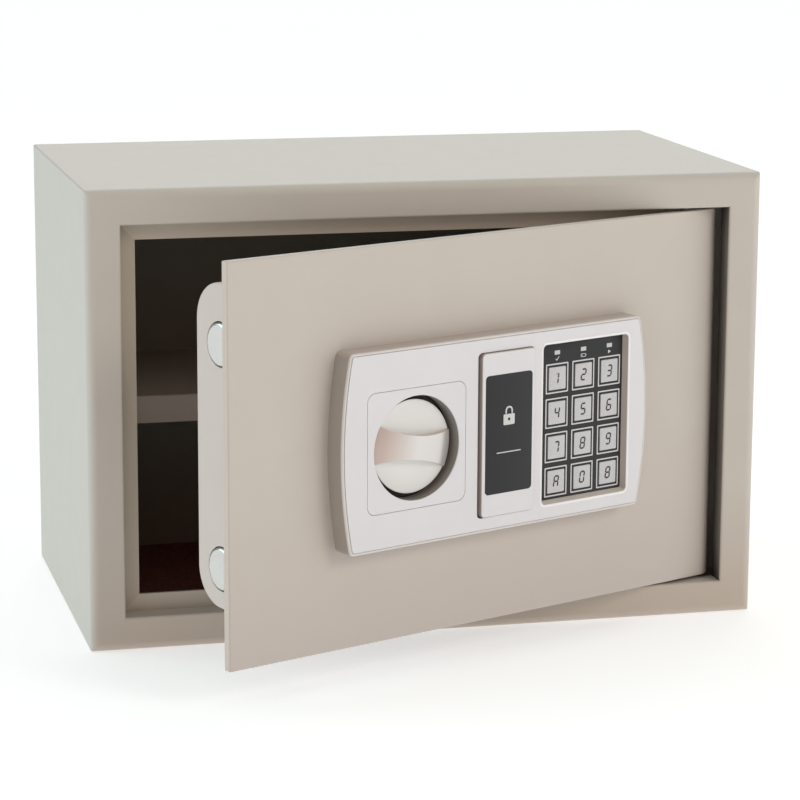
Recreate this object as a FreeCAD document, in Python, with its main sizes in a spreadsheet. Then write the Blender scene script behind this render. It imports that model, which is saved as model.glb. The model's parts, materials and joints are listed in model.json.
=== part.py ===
"""In-room safe: a small steel cabinet with a front-hung door, a motor-free electronic lock behind the
door and a keypad fascia on its front.

Every sub-part is a PartDesign body whose sketches and lengths are bound to the sheet "Sizes".
Frame: origin at the centre of the cabinet's underside, +Z up, the front faces -Y, millimetres.
Everything on the door is modelled with the door shut and placed by one turn about the hinge line.
"""
import FreeCAD, Part
import os
import re

import Sketcher

Vector = FreeCAD.Vector
doc = FreeCAD.newDocument("InRoomSafe")

# ------------------------------------------------------------------------------------------ sizes
SIZES = (
    ("cabinet_width", 300, "cabinet outside, left to right"),
    ("cabinet_depth", 170, "cabinet outside, front to back, without the door fittings"),
    ("cabinet_height", 200, "cabinet outside, bottom to top"),
    ("wall", 2, "cabinet sheet"),
    ("long_bend", 0.7, "outer radius of the four long edges"),
    ("front_bend", 4, "outer radius of the folds round the front frame"),
    ("inner_bend", 1, "radius where the frame turns in to the door"),
    ("frame_face", 15, "width of the front frame's face"),
    ("rebate", 10, "depth of the frame's return, which the door sits in"),
    ("stop_reach", 7.5, "how far the door stop stands into the opening"),
    ("stop_sheet", 1.5, "door stop sheet"),
    ("stop_end", 108, "right end of the top and bottom stops, clear of the hinge"),
    ("back_sheet", 1.5, "back panel sheet"),
    ("anchor_radius", 4.5, "wall and floor anchor holes"),
    ("base_anchor_across", 140, "floor anchor holes, left to right"),
    ("base_anchor_deep", 90, "floor anchor holes, front to back"),
    ("back_anchor_across", 80, "wall anchor holes, left to right"),
    ("back_anchor_level", 120, "height of the wall anchor holes"),
    ("hinge_across", 123.5, "hinge line, from the middle of the cabinet"),
    ("hinge_deep", -69.3, "hinge line, from the middle of the cabinet"),
    ("roll", 10, "outer radius of the door's rolled hinge edge"),
    ("roll_flange", 7, "straight flange after the roll"),
    ("door_sheet", 4, "door plate"),
    ("door_left", -132.5, "free edge of the shut door"),
    ("door_low", 16.5, "bottom edge of the door"),
    ("door_high", 183.5, "top edge of the door"),
    ("door_edge", 0.6, "rounding of the door plate's edges"),
    ("pin_radius", 4, "hinge pin"),
    ("running_gap", 0.05, "radial clearance of a shaft in its bore"),
    ("knuckle_long", 15, "hinge knuckle height"),
    ("bracket_gap", 2, "gap between the door and a hinge bracket"),
    ("bracket_sheet", 3, "hinge bracket plate"),
    ("bracket_deep", 15, "hinge bracket, front to back"),
    ("bracket_drop", 16, "hinge bracket flange on the side wall"),
    ("pin_head", 2.5, "thickness of the hinge pin's head"),
    ("pin_head_radius", 6, "hinge pin's head"),
    ("pin_engage", 11, "length of pin inside the knuckle"),
    ("shelf_front", -21, "front face of the shelf"),
    ("shelf_top", 98.8, "top of the shelf"),
    ("shelf_flange", 12.4, "height of the shelf's front flange"),
    ("shelf_sheet", 1.2, "shelf sheet"),
    ("shelf_gap", 1, "clearance round the shelf"),
    ("ledge_reach", 12, "shelf ledge, width"),
    ("ledge_drop", 12, "shelf ledge, height"),
    ("ledge_sheet", 1.5, "shelf ledge sheet"),
    ("carpet", 1.5, "floor carpet"),
    ("carpet_gap", 1, "clearance round the carpet"),
    ("housing_left", -121.5, "left face of the lock housing"),
    ("housing_right", 82, "right face of the lock housing"),
    ("housing_rear", -40.4, "rear face of the lock housing"),
    ("housing_low", 36.3, "underside of the lock housing"),
    ("housing_high", 171, "top of the lock housing"),
    ("housing_bend", 16, "outer radius of the housing's rear folds"),
    ("housing_sheet", 1.5, "lock housing sheet"),
    ("bolt_radius", 9, "locking bolt"),
    ("bolt_hole", 9.5, "bolt hole in the housing"),
    ("bolt_deep", -57.7, "bolt axis"),
    ("bolt_high", 146.2, "upper bolt axis"),
    ("bolt_low", 53.2, "lower bolt axis"),
    ("bolt_rear", -88, "rear end of a drawn bolt"),
    ("bolt_proud", 0.8, "how far a drawn bolt stands out of the housing"),
    ("guide_left", -108, "bolt guide plate"),
    ("guide_sheet", 2, "bolt guide plate thickness"),
    ("guide_rim", 2.4, "metal round the guide's bolt holes"),
    ("guide_foot", 8, "width of the guide's foot on the door"),
    ("carriage_sheet", 3, "bolt carriage plate"),
    ("carriage_strip", 12, "width of the carriage's upright"),
    ("carriage_right", -30, "right end of the carriage's arm"),
    ("carriage_arm_low", 84, "bottom of the carriage's arm"),
    ("carriage_arm_high", 118, "top of the carriage's arm"),
    ("fascia_across", -1.8, "middle of the fascia"),
    ("fascia_up", 100.2, "middle of the fascia"),
    ("fascia_half_width", 77.8, "half width at the fascia's corners"),
    ("fascia_bow", 4.4, "how far each end of the fascia bows out"),
    ("fascia_half_height", 42, "half height of the fascia"),
    ("fascia_thick", 10, "how far the fascia stands off the door"),
    ("fascia_skin", 4, "thickness of the fascia's front"),
    ("fascia_wall", 2, "side walls of the fascia"),
    ("fascia_corner", 2.5, "corner radius of the fascia"),
    ("fascia_edge", 1, "rounding of the fascia's front edge"),
    ("fit_gap", 0.15, "clearance between inserts and the fascia"),
    ("knob_across", -45.8, "knob axis"),
    ("knob_up", 99.5, "knob axis"),
    ("plate_half", 25.5, "half side of the knob escutcheon"),
    ("plate_corner", 4, "corner radius of the knob escutcheon"),
    ("well_radius", 22, "well that the knob sits in"),
    ("well_wall", 1.5, "wall and floor of the well"),
    ("knob_radius", 19.8, "knob disc"),
    ("knob_sunk", 4.1, "knob disc's face below the fascia's face"),
    ("knob_crest", 0.4, "knob grip's crest above the fascia's face"),
    ("knob_gap", 0.4, "gap under the knob disc"),
    ("grip_waist", 5.1, "half width of the grip at its waist"),
    ("grip_end", 8, "half width of the grip at its ends"),
    ("spindle_radius", 4, "knob spindle"),
    ("bush_radius", 6, "spindle bush"),
    ("bush_proud", 1, "spindle bush behind the door plate"),
    ("crank_throw", 12, "crank pin from the spindle axis"),
    ("crank_hub", 7, "radius of the crank's hub"),
    ("crank_front", -72, "front face of the crank"),
    ("crank_sheet", 3, "crank thickness"),
    ("crank_pin", 2.5, "radius of the crank pin"),
    ("crank_play", 0.5, "slot clearance on each side of the crank pin"),
    ("diagonal", 0.70710678, "cosine of the crank's rest angle"),
    ("cover_across", 1.8, "middle of the emergency lock's cover"),
    ("cover_up", 100, "middle of the emergency lock's cover"),
    ("cover_half_width", 14.4, "cover"),
    ("cover_half_height", 35, "cover"),
    ("cover_proud", 1.2, "how far the cover stands out of the fascia"),
    ("cover_thick", 4.2, "cover, front to back"),
    ("cover_gap", 0.4, "gap round the cover"),
    ("cover_corner", 2, "corner radius of the cover"),
    ("label_half_width", 12.6, "label on the cover"),
    ("label_half_height", 25.5, "label on the cover"),
    ("label_sheet", 0.4, "label"),
    ("label_sunk", 0.3, "depth of the label's recess"),
    ("cylinder_radius", 9.5, "body of the emergency key cylinder"),
    ("cylinder_front", -85.4, "front face of the key cylinder"),
    ("cylinder_rear", -58, "rear face of the key cylinder"),
    ("cylinder_flange", 12, "radius of the key cylinder's flange"),
    ("flange_thick", 2, "thickness of the key cylinder's flange"),
    ("nut_lap", 1.5, "cylinder nut past the flange"),
    ("nut_thick", 4, "cylinder nut"),
    ("plug_radius", 6, "turning plug of the key cylinder"),
    ("plug_proud", 3, "plug past the rear of the cylinder"),
    ("keyway_deep", 20, "keyway"),
    ("keyway_half_width", 1.1, "keyway"),
    ("keyway_half_height", 4, "keyway"),
    ("cam_reach", 15, "cam on the plug, above the axis"),
    ("cam_tail", 5, "cam on the plug, below the axis"),
    ("cam_half_width", 4, "cam on the plug"),
    ("cam_sheet", 3, "thickness of the cam"),
    ("window_left", 21.4, "keypad window in the fascia"),
    ("window_right", 69, "keypad window in the fascia"),
    ("window_low", 65.6, "keypad window in the fascia"),
    ("window_high", 134.9, "keypad window in the fascia"),
    ("window_corner", 2, "corner radius of the keypad window"),
    ("overlay_sunk", 2.6, "keypad overlay below the fascia's face"),
    ("overlay_thick", 1.4, "keypad overlay"),
    ("key_across", 45.8, "middle column of keys"),
    ("key_pitch_across", 14.65, "column pitch"),
    ("key_top", 119.4, "top row of keys"),
    ("key_pitch_up", 15, "row pitch"),
    ("key_half_width", 4.65, "key cap"),
    ("key_half_height", 4.9, "key cap"),
    ("key_gap", 0.15, "clearance round a key"),
    ("key_proud", 0.3, "key cap above the overlay"),
    ("key_thick", 1.2, "key cap"),
    ("key_corner", 0.5, "corner radius of a key cap"),
    ("led_up", 130.5, "height of the lamps"),
    ("led_half_width", 1.3, "lamp"),
    ("led_half_height", 0.7, "lamp"),
    ("board_thick", 1.6, "circuit board"),
    ("board_lap_across", 2, "circuit board past the window, at each side"),
    ("board_lap_up", 1.5, "circuit board past the window, at top and bottom"),
    ("battery_radius", 7.1, "AA cell"),
    ("battery_half_long", 25, "AA cell"),
    ("battery_across", 45, "middle of the battery box"),
    ("battery_up", 101, "middle of the battery box"),
    ("battery_pitch", 15, "cell pitch"),
    ("terminal_radius", 2.6, "terminal of a cell"),
    ("terminal_proud", 1, "terminal of a cell"),
    ("battery_deep", -50.5, "cell axis"),
    ("box_half_width", 30, "battery box"),
    ("box_half_height", 33, "battery box"),
    ("box_front", -60, "front face of the battery box"),
    ("box_wall", 1.5, "battery box wall"),
    ("lid_thick", 2, "battery cover"),
    ("lid_lap", 3, "battery cover's lap over the housing"),
    ("reset_across", 4, "reset button"),
    ("reset_up", 150, "reset button"),
    ("reset_radius", 3, "reset button"),
    ("reset_deep", 3, "reset button inside the housing"),
    ("reset_proud", 1.5, "reset button outside the housing"),
    ("solenoid_across", -56, "solenoid axis"),
    ("solenoid_low", 122, "underside of the solenoid frame"),
    ("solenoid_high", 152, "top of the solenoid frame"),
    ("solenoid_sheet", 2, "sheet of the solenoid frame"),
    ("solenoid_side", 1, "solenoid frame past the coil, at each side"),
    ("solenoid_foot", 10, "height of the solenoid frame's foot on the door"),
    ("plunger_short", 8, "plunger's end below the top of the frame"),
    ("coil_radius", 8, "solenoid coil"),
    ("plunger_radius", 3, "solenoid plunger"),
    ("screw_head", 3.2, "screw head radius"),
    ("screw_shank", 1.5, "screw shank radius"),
    ("screw_inset", 8, "housing screws from the housing's folds"),
    ("stud_inset", 4, "fascia screws from the fascia's long edges"),
    ("past", 1, "how far a cutting outline reaches past the metal"),
)
DOOR_OPEN = 23.3    # degrees the door stands open at rest
KNOB_LEAN = -8.8    # degrees the knob's grip leans from level at rest

sheet = doc.addObject("Spreadsheet::Sheet", "Sizes")
for row, (alias, value, note) in enumerate(SIZES, start=1):
    sheet.set("A%d" % row, note)
    sheet.set("B%d" % row, str(value))
    sheet.setAlias("B%d" % row, alias)
doc.recompute()

SIZE = {alias: float(sheet.get(alias)) for alias, _, _ in SIZES}
WORD = re.compile("[a-z_]+")


def linked(formula):
    """The formula with each size named as a cell of the sheet."""
    return WORD.sub(lambda word: "Sizes." + word.group(), formula)


def number(formula):
    """The formula's value in millimetres."""
    return FreeCAD.Units.Quantity(WORD.sub(lambda word: "(%.9g)" % SIZE[word.group()], formula)).Value


# ----------------------------------------------------------------------------- drawing in sketches
def hold(sketch, geometry, end, across, up):
    """Ties a point of the sketch to the sheet."""
    for kind, formula in (("DistanceX", across), ("DistanceY", up)):
        tie = Sketcher.Constraint(kind, -1, 1, geometry, end, number(formula))
        index = sketch.addConstraint(tie)
        sketch.setExpression("Constraints[%d]" % index, linked(formula))


def point_at(spot):
    return Vector(number(spot[0]), number(spot[1]), 0)


def path(*steps):
    """Closed outline. A step is a corner (across, up); a step with two corners is reached by an arc
    through the first of them."""
    def draw(sketch):
        first = sketch.GeometryCount
        corners = [step[-2:] for step in steps]
        arcs = {}
        for index, corner in enumerate(corners):
            start = point_at(corners[index - 1])
            end = point_at(corner)
            if len(steps[index]) == 4:
                middle = steps[index][:2]
                arcs[first + index] = middle
                sketch.addGeometry(Part.Arc(start, point_at(middle), end))
            else:
                sketch.addGeometry(Part.LineSegment(start, end))
        for geometry, middle in arcs.items():
            spot = sketch.addGeometry(Part.Point(point_at(middle)), True)
            hold(sketch, spot, 1, *middle)
            sketch.addConstraint(Sketcher.Constraint("PointOnObject", spot, 1, geometry))
        ends = [far_end(sketch, first + index, point_at(corner)) for index, corner in enumerate(corners)]
        for index, corner in enumerate(corners):
            following = (index + 1) % len(corners)
            hold(sketch, first + index, ends[index], *corner)
            tie = Sketcher.Constraint("Coincident", first + index, ends[index],
                                      first + following, 3 - ends[following])
            sketch.addConstraint(tie)
    return draw


def far_end(sketch, geometry, corner):
    """Which end, 1 or 2, of a line or arc lies at the corner. An arc always runs anticlockwise."""
    start = sketch.getPoint(geometry, 1)
    end = sketch.getPoint(geometry, 2)
    return 1 if start.distanceToPoint(corner) < end.distanceToPoint(corner) else 2


def rectangle(left, low, right, high):
    return path((left, low), (right, low), (right, high), (left, high))


def centred(across, up, half_width, half_height):
    return rectangle("%s - (%s)" % (across, half_width), "%s - (%s)" % (up, half_height),
                     "%s + (%s)" % (across, half_width), "%s + (%s)" % (up, half_height))


def circle(across, up, radius):
    def draw(sketch):
        ring = sketch.addGeometry(Part.Circle(point_at((across, up)), Vector(0, 0, 1), number(radius)))
        hold(sketch, ring, 3, across, up)
        index = sketch.addConstraint(Sketcher.Constraint("Radius", ring, number(radius)))
        sketch.setExpression("Constraints[%d]" % index, linked(radius))
    return draw


def several(shapes):
    def draw(sketch):
        for shape in shapes:
            shape(sketch)
    return draw


# ------------------------------------------------------------------------------- choosing edges
def runs(axis):
    """Straight edges along an axis."""
    index = "xyz".index(axis)

    def test(edge):
        straight = edge.Curve.TypeId == "Part::GeomLine"
        return straight and abs(edge.tangentAt(edge.FirstParameter)[index]) > 0.999
    return test


def lies(axis, formula):
    """Edges that stay at one place along an axis."""
    place = number(formula)

    def test(edge):
        box = edge.BoundBox
        low = getattr(box, axis.upper() + "Min")
        high = getattr(box, axis.upper() + "Max")
        return abs(low - place) < 0.02 and abs(high - place) < 0.02
    return test


def either(*tests):
    """Edges that pass at least one test."""
    return lambda edge: any(test(edge) for test in tests)


def inside(axis, low, high):
    """Edges that stay between two places along an axis."""
    def test(edge):
        box = edge.BoundBox
        near = getattr(box, axis.upper() + "Min")
        far = getattr(box, axis.upper() + "Max")
        return near > number(low) and far < number(high)
    return test


# -------------------------------------------------------------------------------------- sub-parts
# For each axis: the origin plane across it and whether that plane's normal runs along the axis.
PLANES = {"x": ("YZ_Plane", 1), "y": ("XZ_Plane", -1), "z": ("XY_Plane", 1)}
DOOR = FreeCAD.Placement(Vector(), FreeCAD.Rotation(Vector(0, 0, 1), DOOR_OPEN),
                         Vector(SIZE["hinge_across"], SIZE["hinge_deep"], 0))
KNOB_TURN = FreeCAD.Placement(Vector(), FreeCAD.Rotation(Vector(0, -1, 0), KNOB_LEAN),
                              Vector(SIZE["knob_across"], 0, SIZE["knob_up"]))
CABINET = FreeCAD.Placement()
pieces = []


class Piece:
    """One physical piece: a body of pads and pockets drawn on its own origin planes."""

    def __init__(self, label, pose):
        self.body = doc.addObject("PartDesign::Body", label)
        self.body.Label = label
        self.body.AllowCompound = True
        self.body.Placement = pose
        pieces.append(self.body)

    def feature(self, kind, axis, start, end, shape):
        role, sign = PLANES[axis]
        plane = next(item for item in self.body.Origin.OriginFeatures if item.Role == role)
        sketch = self.body.newObject("Sketcher::SketchObject", "Sketch")
        sketch.AttachmentSupport = [(plane, "")]
        sketch.MapMode = "FlatFace"
        sketch.setExpression("AttachmentOffset.Base.z", "%d * (%s)" % (sign, linked(start)))
        shape(sketch)
        doc.recompute()
        feature = self.body.newObject("PartDesign::" + kind, kind)
        feature.Profile = sketch
        feature.setExpression("Length", "abs((%s) - (%s))" % (linked(end), linked(start)))
        forward = sign * (number(end) - number(start)) > 0
        feature.Reversed = forward if kind == "Pocket" else not forward
        doc.recompute()
        return feature

    def pad(self, axis, start, end, shape):
        """Adds the outline between two places along the axis."""
        self.feature("Pad", axis, start, end, shape)
        return self

    def cut(self, axis, start, end, shape):
        """Removes the outline between two places along the axis."""
        before = self.body.Shape.Volume
        self.feature("Pocket", axis, start, end, shape)
        if self.body.Shape.Volume > before - 1e-6:
            raise RuntimeError("%s: a pocket removes nothing" % self.body.Label)
        return self

    def dress(self, kind, prop, formula, tests):
        base = self.body.Tip
        names = ["Edge%d" % (index + 1) for index, edge in enumerate(base.Shape.Edges)
                 if all(test(edge) for test in tests)]
        if not names:
            raise RuntimeError("%s: no edge to dress" % self.body.Label)
        feature = self.body.newObject("PartDesign::" + kind, kind)
        feature.Base = (base, names)
        feature.setExpression(prop, linked(formula))
        doc.recompute()
        return self

    def rounded(self, radius, *tests):
        return self.dress("Fillet", "Radius", radius, tests)

    def chamfered(self, width, *tests):
        return self.dress("Chamfer", "Size", width, tests)


# ---------------------------------------------------------------------------------------- cabinet
LEFT = "-cabinet_width / 2"
RIGHT = "cabinet_width / 2"
FRONT = "-cabinet_depth / 2"
BACK = "cabinet_depth / 2"
LEFT_IN = LEFT + " + wall"
RIGHT_IN = RIGHT + " - wall"
CEILING = "cabinet_height - wall"
BACK_IN = BACK + " - back_sheet"
RETURN_END = FRONT + " + rebate"


def inset(depth):
    """Rectangle that stays a depth inside the cabinet's outline."""
    return rectangle("%s + %s" % (LEFT, depth), depth, "%s - (%s)" % (RIGHT, depth),
                     "cabinet_height - (%s)" % depth)


def base_anchors():
    return several([circle("%s * base_anchor_across / 2" % x, "%s * base_anchor_deep / 2" % y,
                           "anchor_radius") for x in ("-1", "1") for y in ("-1", "1")])


def make_cabinet():
    shell = Piece("cabinet_shell", CABINET)
    shell.pad("y", BACK, FRONT, inset("0"))
    shell.rounded("front_bend", lies("y", FRONT))
    shell.rounded("long_bend", runs("y"))
    shell.cut("y", BACK, FRONT + " + wall", inset("wall"))
    shell.cut("y", FRONT + " + wall", FRONT, inset("frame_face"))
    shell.pad("y", FRONT + " + wall", RETURN_END,
              several([inset("frame_face"), inset("frame_face - wall")]))
    shell.rounded("inner_bend", lies("y", FRONT),
                  inside("x", LEFT + " + frame_face / 2", RIGHT + " - frame_face / 2"),
                  inside("z", "frame_face / 2", "cabinet_height - frame_face / 2"))
    shell.cut("z", "wall", "0", base_anchors())

    back = Piece("back_panel", CABINET)
    back.pad("y", BACK, BACK_IN, inset("wall"))
    back.cut("y", BACK_IN, BACK, several([circle("%s * back_anchor_across / 2" % side, "back_anchor_level",
                                                 "anchor_radius") for side in ("-1", "1")]))


def make_stops():
    """Three strips behind the frame's return, mitred where they meet."""
    outer_left = LEFT + " + frame_face - wall"
    inner_left = LEFT + " + frame_face + stop_reach"
    outer_low = "frame_face - wall"
    inner_low = "frame_face + stop_reach"
    outer_high = "cabinet_height - frame_face + wall"
    inner_high = "cabinet_height - frame_face - stop_reach"
    rear = RETURN_END + " + stop_sheet"
    Piece("door_stop_left", CABINET).pad("y", rear, RETURN_END, path(
        (outer_left, outer_low), (inner_left, inner_low),
        (inner_left, inner_high), (outer_left, outer_high)))
    Piece("door_stop_bottom", CABINET).pad("y", rear, RETURN_END, path(
        (outer_left, outer_low), ("stop_end", outer_low),
        ("stop_end", inner_low), (inner_left, inner_low)))
    Piece("door_stop_top", CABINET).pad("y", rear, RETURN_END, path(
        (outer_left, outer_high), (inner_left, inner_high),
        ("stop_end", inner_high), ("stop_end", outer_high)))


def make_hinge(name, door_edge, away):
    """Bracket and pin on the cabinet, knuckle on the door. away is "1" above the door, "-1" below."""
    plate_near = "%s + %s * bracket_gap" % (door_edge, away)
    plate_far = "%s + %s * bracket_sheet" % (plate_near, away)
    flange_end = "%s - %s * bracket_drop" % (plate_far, away)
    head_far = "%s + %s * pin_head" % (plate_far, away)
    pin_end = "%s - %s * pin_engage" % (door_edge, away)
    knuckle_end = "%s - %s * knuckle_long" % (door_edge, away)
    front = RETURN_END + " + fit_gap"
    rear = front + " + bracket_deep"
    bore = "pin_radius + running_gap"

    bracket = Piece("hinge_bracket_" + name, CABINET)
    bracket.pad("z", plate_near, plate_far, rectangle("hinge_across - roll", front, RIGHT_IN, rear))
    bracket.pad("z", plate_far, flange_end, rectangle(RIGHT_IN + " - bracket_sheet", front, RIGHT_IN, rear))
    bracket.cut("z", plate_near, plate_far, circle("hinge_across", "hinge_deep", "pin_radius"))

    pin = Piece("hinge_pin_" + name, CABINET)
    pin.pad("z", pin_end, plate_far, circle("hinge_across", "hinge_deep", "pin_radius"))
    pin.pad("z", plate_far, head_far, circle("hinge_across", "hinge_deep", "pin_head_radius"))
    pin.chamfered("inner_bend / 2", lies("z", pin_end))

    knuckle = Piece("hinge_knuckle_" + name, DOOR)
    knuckle.pad("z", knuckle_end, door_edge, circle("hinge_across", "hinge_deep", "roll - door_sheet"))
    knuckle.cut("z", door_edge, knuckle_end, circle("hinge_across", "hinge_deep", bore))


def make_interior():
    shelf_under = "shelf_top - shelf_sheet"
    shelf_rear = BACK_IN + " - shelf_gap"
    half = "(cabinet_width / 2 - wall - shelf_gap)"
    shelf = Piece("shelf", CABINET)
    shelf.pad("x", "-" + half, half, path(
        ("shelf_front", "shelf_top - shelf_flange"),
        ("shelf_front + shelf_sheet", "shelf_top - shelf_flange"),
        ("shelf_front + shelf_sheet", shelf_under),
        (shelf_rear, shelf_under), (shelf_rear, "shelf_top"), ("shelf_front", "shelf_top")))
    shelf.rounded("inner_bend", runs("x"), lies("y", "shelf_front"), lies("z", "shelf_top"))

    ledge_front = "shelf_front + ledge_reach"
    for name, wall_face, inward in (("left", LEFT_IN, "1"), ("right", RIGHT_IN, "-1")):
        reach = "%s + %s * ledge_reach" % (wall_face, inward)
        skin = "%s + %s * ledge_sheet" % (wall_face, inward)
        ledge = Piece("shelf_ledge_" + name, CABINET)
        ledge.pad("y", ledge_front, BACK_IN, path(
            (wall_face, shelf_under), (wall_face, shelf_under + " - ledge_drop"),
            (skin, shelf_under + " - ledge_drop"), (skin, shelf_under + " - ledge_sheet"),
            (reach, shelf_under + " - ledge_sheet"), (reach, shelf_under)))

    carpet = Piece("floor_carpet", CABINET)
    carpet.pad("z", "wall", "wall + carpet", rectangle(
        LEFT_IN + " + carpet_gap", FRONT + " + wall + carpet_gap",
        RIGHT_IN + " - carpet_gap", BACK_IN + " - carpet_gap"))
    carpet.cut("z", "wall + carpet", "wall", base_anchors())


# ------------------------------------------------------------------------------------------- door
DOOR_FRONT = "hinge_deep - roll"
DOOR_REAR = "hinge_deep - roll + door_sheet"
FASCIA_FRONT = DOOR_FRONT + " - fascia_thick"
SKIN_REAR = FASCIA_FRONT + " + fascia_skin"
OVERLAY_FRONT = FASCIA_FRONT + " + overlay_sunk"
OVERLAY_REAR = OVERLAY_FRONT + " + overlay_thick"
HOUSING_IN = "housing_rear - housing_sheet"
STUDS = [("fascia_across + %s * (fascia_half_width - roll)" % x,
          "fascia_up + %s * (fascia_half_height - stud_inset)" % z)
         for x in ("-1", "1") for z in ("-1", "1")]


def make_door_plate():
    """Flat plate whose hinge edge is rolled back about the hinge line."""
    inner = "(roll - door_sheet)"
    plate = Piece("door_plate", DOOR)
    plate.pad("z", "door_low", "door_high", path(
        ("door_left", DOOR_REAR), ("door_left", DOOR_FRONT), ("hinge_across", DOOR_FRONT),
        ("hinge_across + diagonal * roll", "hinge_deep - diagonal * roll",
         "hinge_across + roll", "hinge_deep"),
        ("hinge_across + roll", "hinge_deep + roll_flange"),
        ("hinge_across + " + inner, "hinge_deep + roll_flange"),
        ("hinge_across + " + inner, "hinge_deep"),
        ("hinge_across + diagonal * " + inner, "hinge_deep - diagonal * " + inner,
         "hinge_across", DOOR_REAR)))
    plate.cut("y", DOOR_REAR, DOOR_FRONT, several(
        [circle("knob_across", "knob_up", "bush_radius"),
         circle("cover_across", "cover_up", "cylinder_radius"),
         centred("key_across", "led_up - roll", "roll", "roll / 4")]
        + [circle(x, z, "screw_shank") for x, z in STUDS]))
    plate.rounded("door_edge", either(lies("x", "door_left"), lies("z", "door_low"),
                                      lies("z", "door_high"), lies("y", "hinge_deep + roll_flange")))


def make_housing():
    """Pressed cover over the lockwork, open towards the door."""
    housing = Piece("lock_housing", DOOR)
    housing.pad("x", "housing_left", "housing_right",
                rectangle(DOOR_REAR, "housing_low", "housing_rear", "housing_high"))
    housing.rounded("housing_bend", runs("x"), lies("y", "housing_rear"))
    housing.rounded("inner_bend", lies("x", "housing_left"))
    low = "housing_low + housing_sheet"
    high = "housing_high - housing_sheet"
    bend = "(housing_bend - housing_sheet)"
    bow = "(1 - diagonal) * " + bend
    housing.cut("x", "housing_left + housing_sheet", "housing_right - housing_sheet", path(
        (DOOR_REAR, high), (DOOR_REAR, low), ("%s - %s" % (HOUSING_IN, bend), low),
        ("%s - %s" % (HOUSING_IN, bow), "%s + %s" % (low, bow), HOUSING_IN, "%s + %s" % (low, bend)),
        (HOUSING_IN, "%s - %s" % (high, bend)),
        ("%s - %s" % (HOUSING_IN, bow), "%s - %s" % (high, bow), "%s - %s" % (HOUSING_IN, bend), high)))
    housing.cut("x", "housing_left", "housing_left + housing_sheet", several(
        [circle("bolt_deep", level, "bolt_hole") for level in ("bolt_low", "bolt_high")]))
    housing.cut("y", "housing_rear", HOUSING_IN, several(
        [centred("battery_across", "battery_up", "box_half_width - box_wall", "box_half_height - box_wall"),
         circle("reset_across", "reset_up", "reset_radius + fit_gap")]))

    screws = Piece("housing_screws", DOOR)
    spots = [(x, z) for x in ("housing_left + 2 * roll", "housing_right - roll")
             for z in ("housing_low + housing_bend + screw_inset",
                       "housing_high - housing_bend - screw_inset")]
    screws.pad("y", "housing_rear", "housing_rear + screw_shank",
               several([circle(x, z, "screw_head") for x, z in spots]))
    screws.chamfered("screw_shank / 3", lies("y", "housing_rear + screw_shank"))


def make_bolt_work():
    guide = Piece("bolt_guide", DOOR)
    guide.pad("x", "guide_left", "guide_left + guide_sheet", rectangle(
        DOOR_REAR, "bolt_low - bolt_radius - guide_rim", "bolt_deep + bolt_radius + guide_rim / 2",
        "bolt_high + bolt_radius + guide_rim / 2"))
    guide.pad("y", DOOR_REAR, DOOR_REAR + " + guide_sheet", rectangle(
        "guide_left - guide_foot", "bolt_low + roll", "guide_left", "bolt_high - roll"))
    guide.cut("x", "guide_left", "guide_left + guide_sheet", several(
        [circle("bolt_deep", level, "bolt_radius + running_gap * 2")
         for level in ("bolt_low", "bolt_high")]))

    for name, level in (("bolt_lower", "bolt_low"), ("bolt_upper", "bolt_high")):
        bolt = Piece(name, DOOR)
        bolt.pad("x", "housing_left - bolt_proud", "bolt_rear", circle("bolt_deep", level, "bolt_radius"))
        bolt.chamfered("inner_bend / 2", lies("x", "housing_left - bolt_proud"))

    front = "bolt_deep - carriage_sheet / 2"
    rear = "bolt_deep + carriage_sheet / 2"
    strip = "bolt_rear + carriage_strip"
    slot_across = "knob_across + crank_throw * diagonal"
    slot_up = "knob_up + crank_throw * (1 + diagonal) / 2"
    carriage = Piece("bolt_carriage", DOOR)
    carriage.pad("y", rear, front, path(
        ("bolt_rear", "bolt_low - bolt_radius"), (strip, "bolt_low - bolt_radius"),
        (strip, "carriage_arm_low"), ("carriage_right", "carriage_arm_low"),
        ("carriage_right", "carriage_arm_high"),
        (strip, "carriage_arm_high"), (strip, "bolt_high + bolt_radius"),
        ("bolt_rear", "bolt_high + bolt_radius")))
    carriage.cut("y", front, rear, centred(slot_across, slot_up, "crank_pin + crank_play",
                                           "crank_throw * (1 - diagonal) / 2 + crank_pin + crank_play"))


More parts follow.
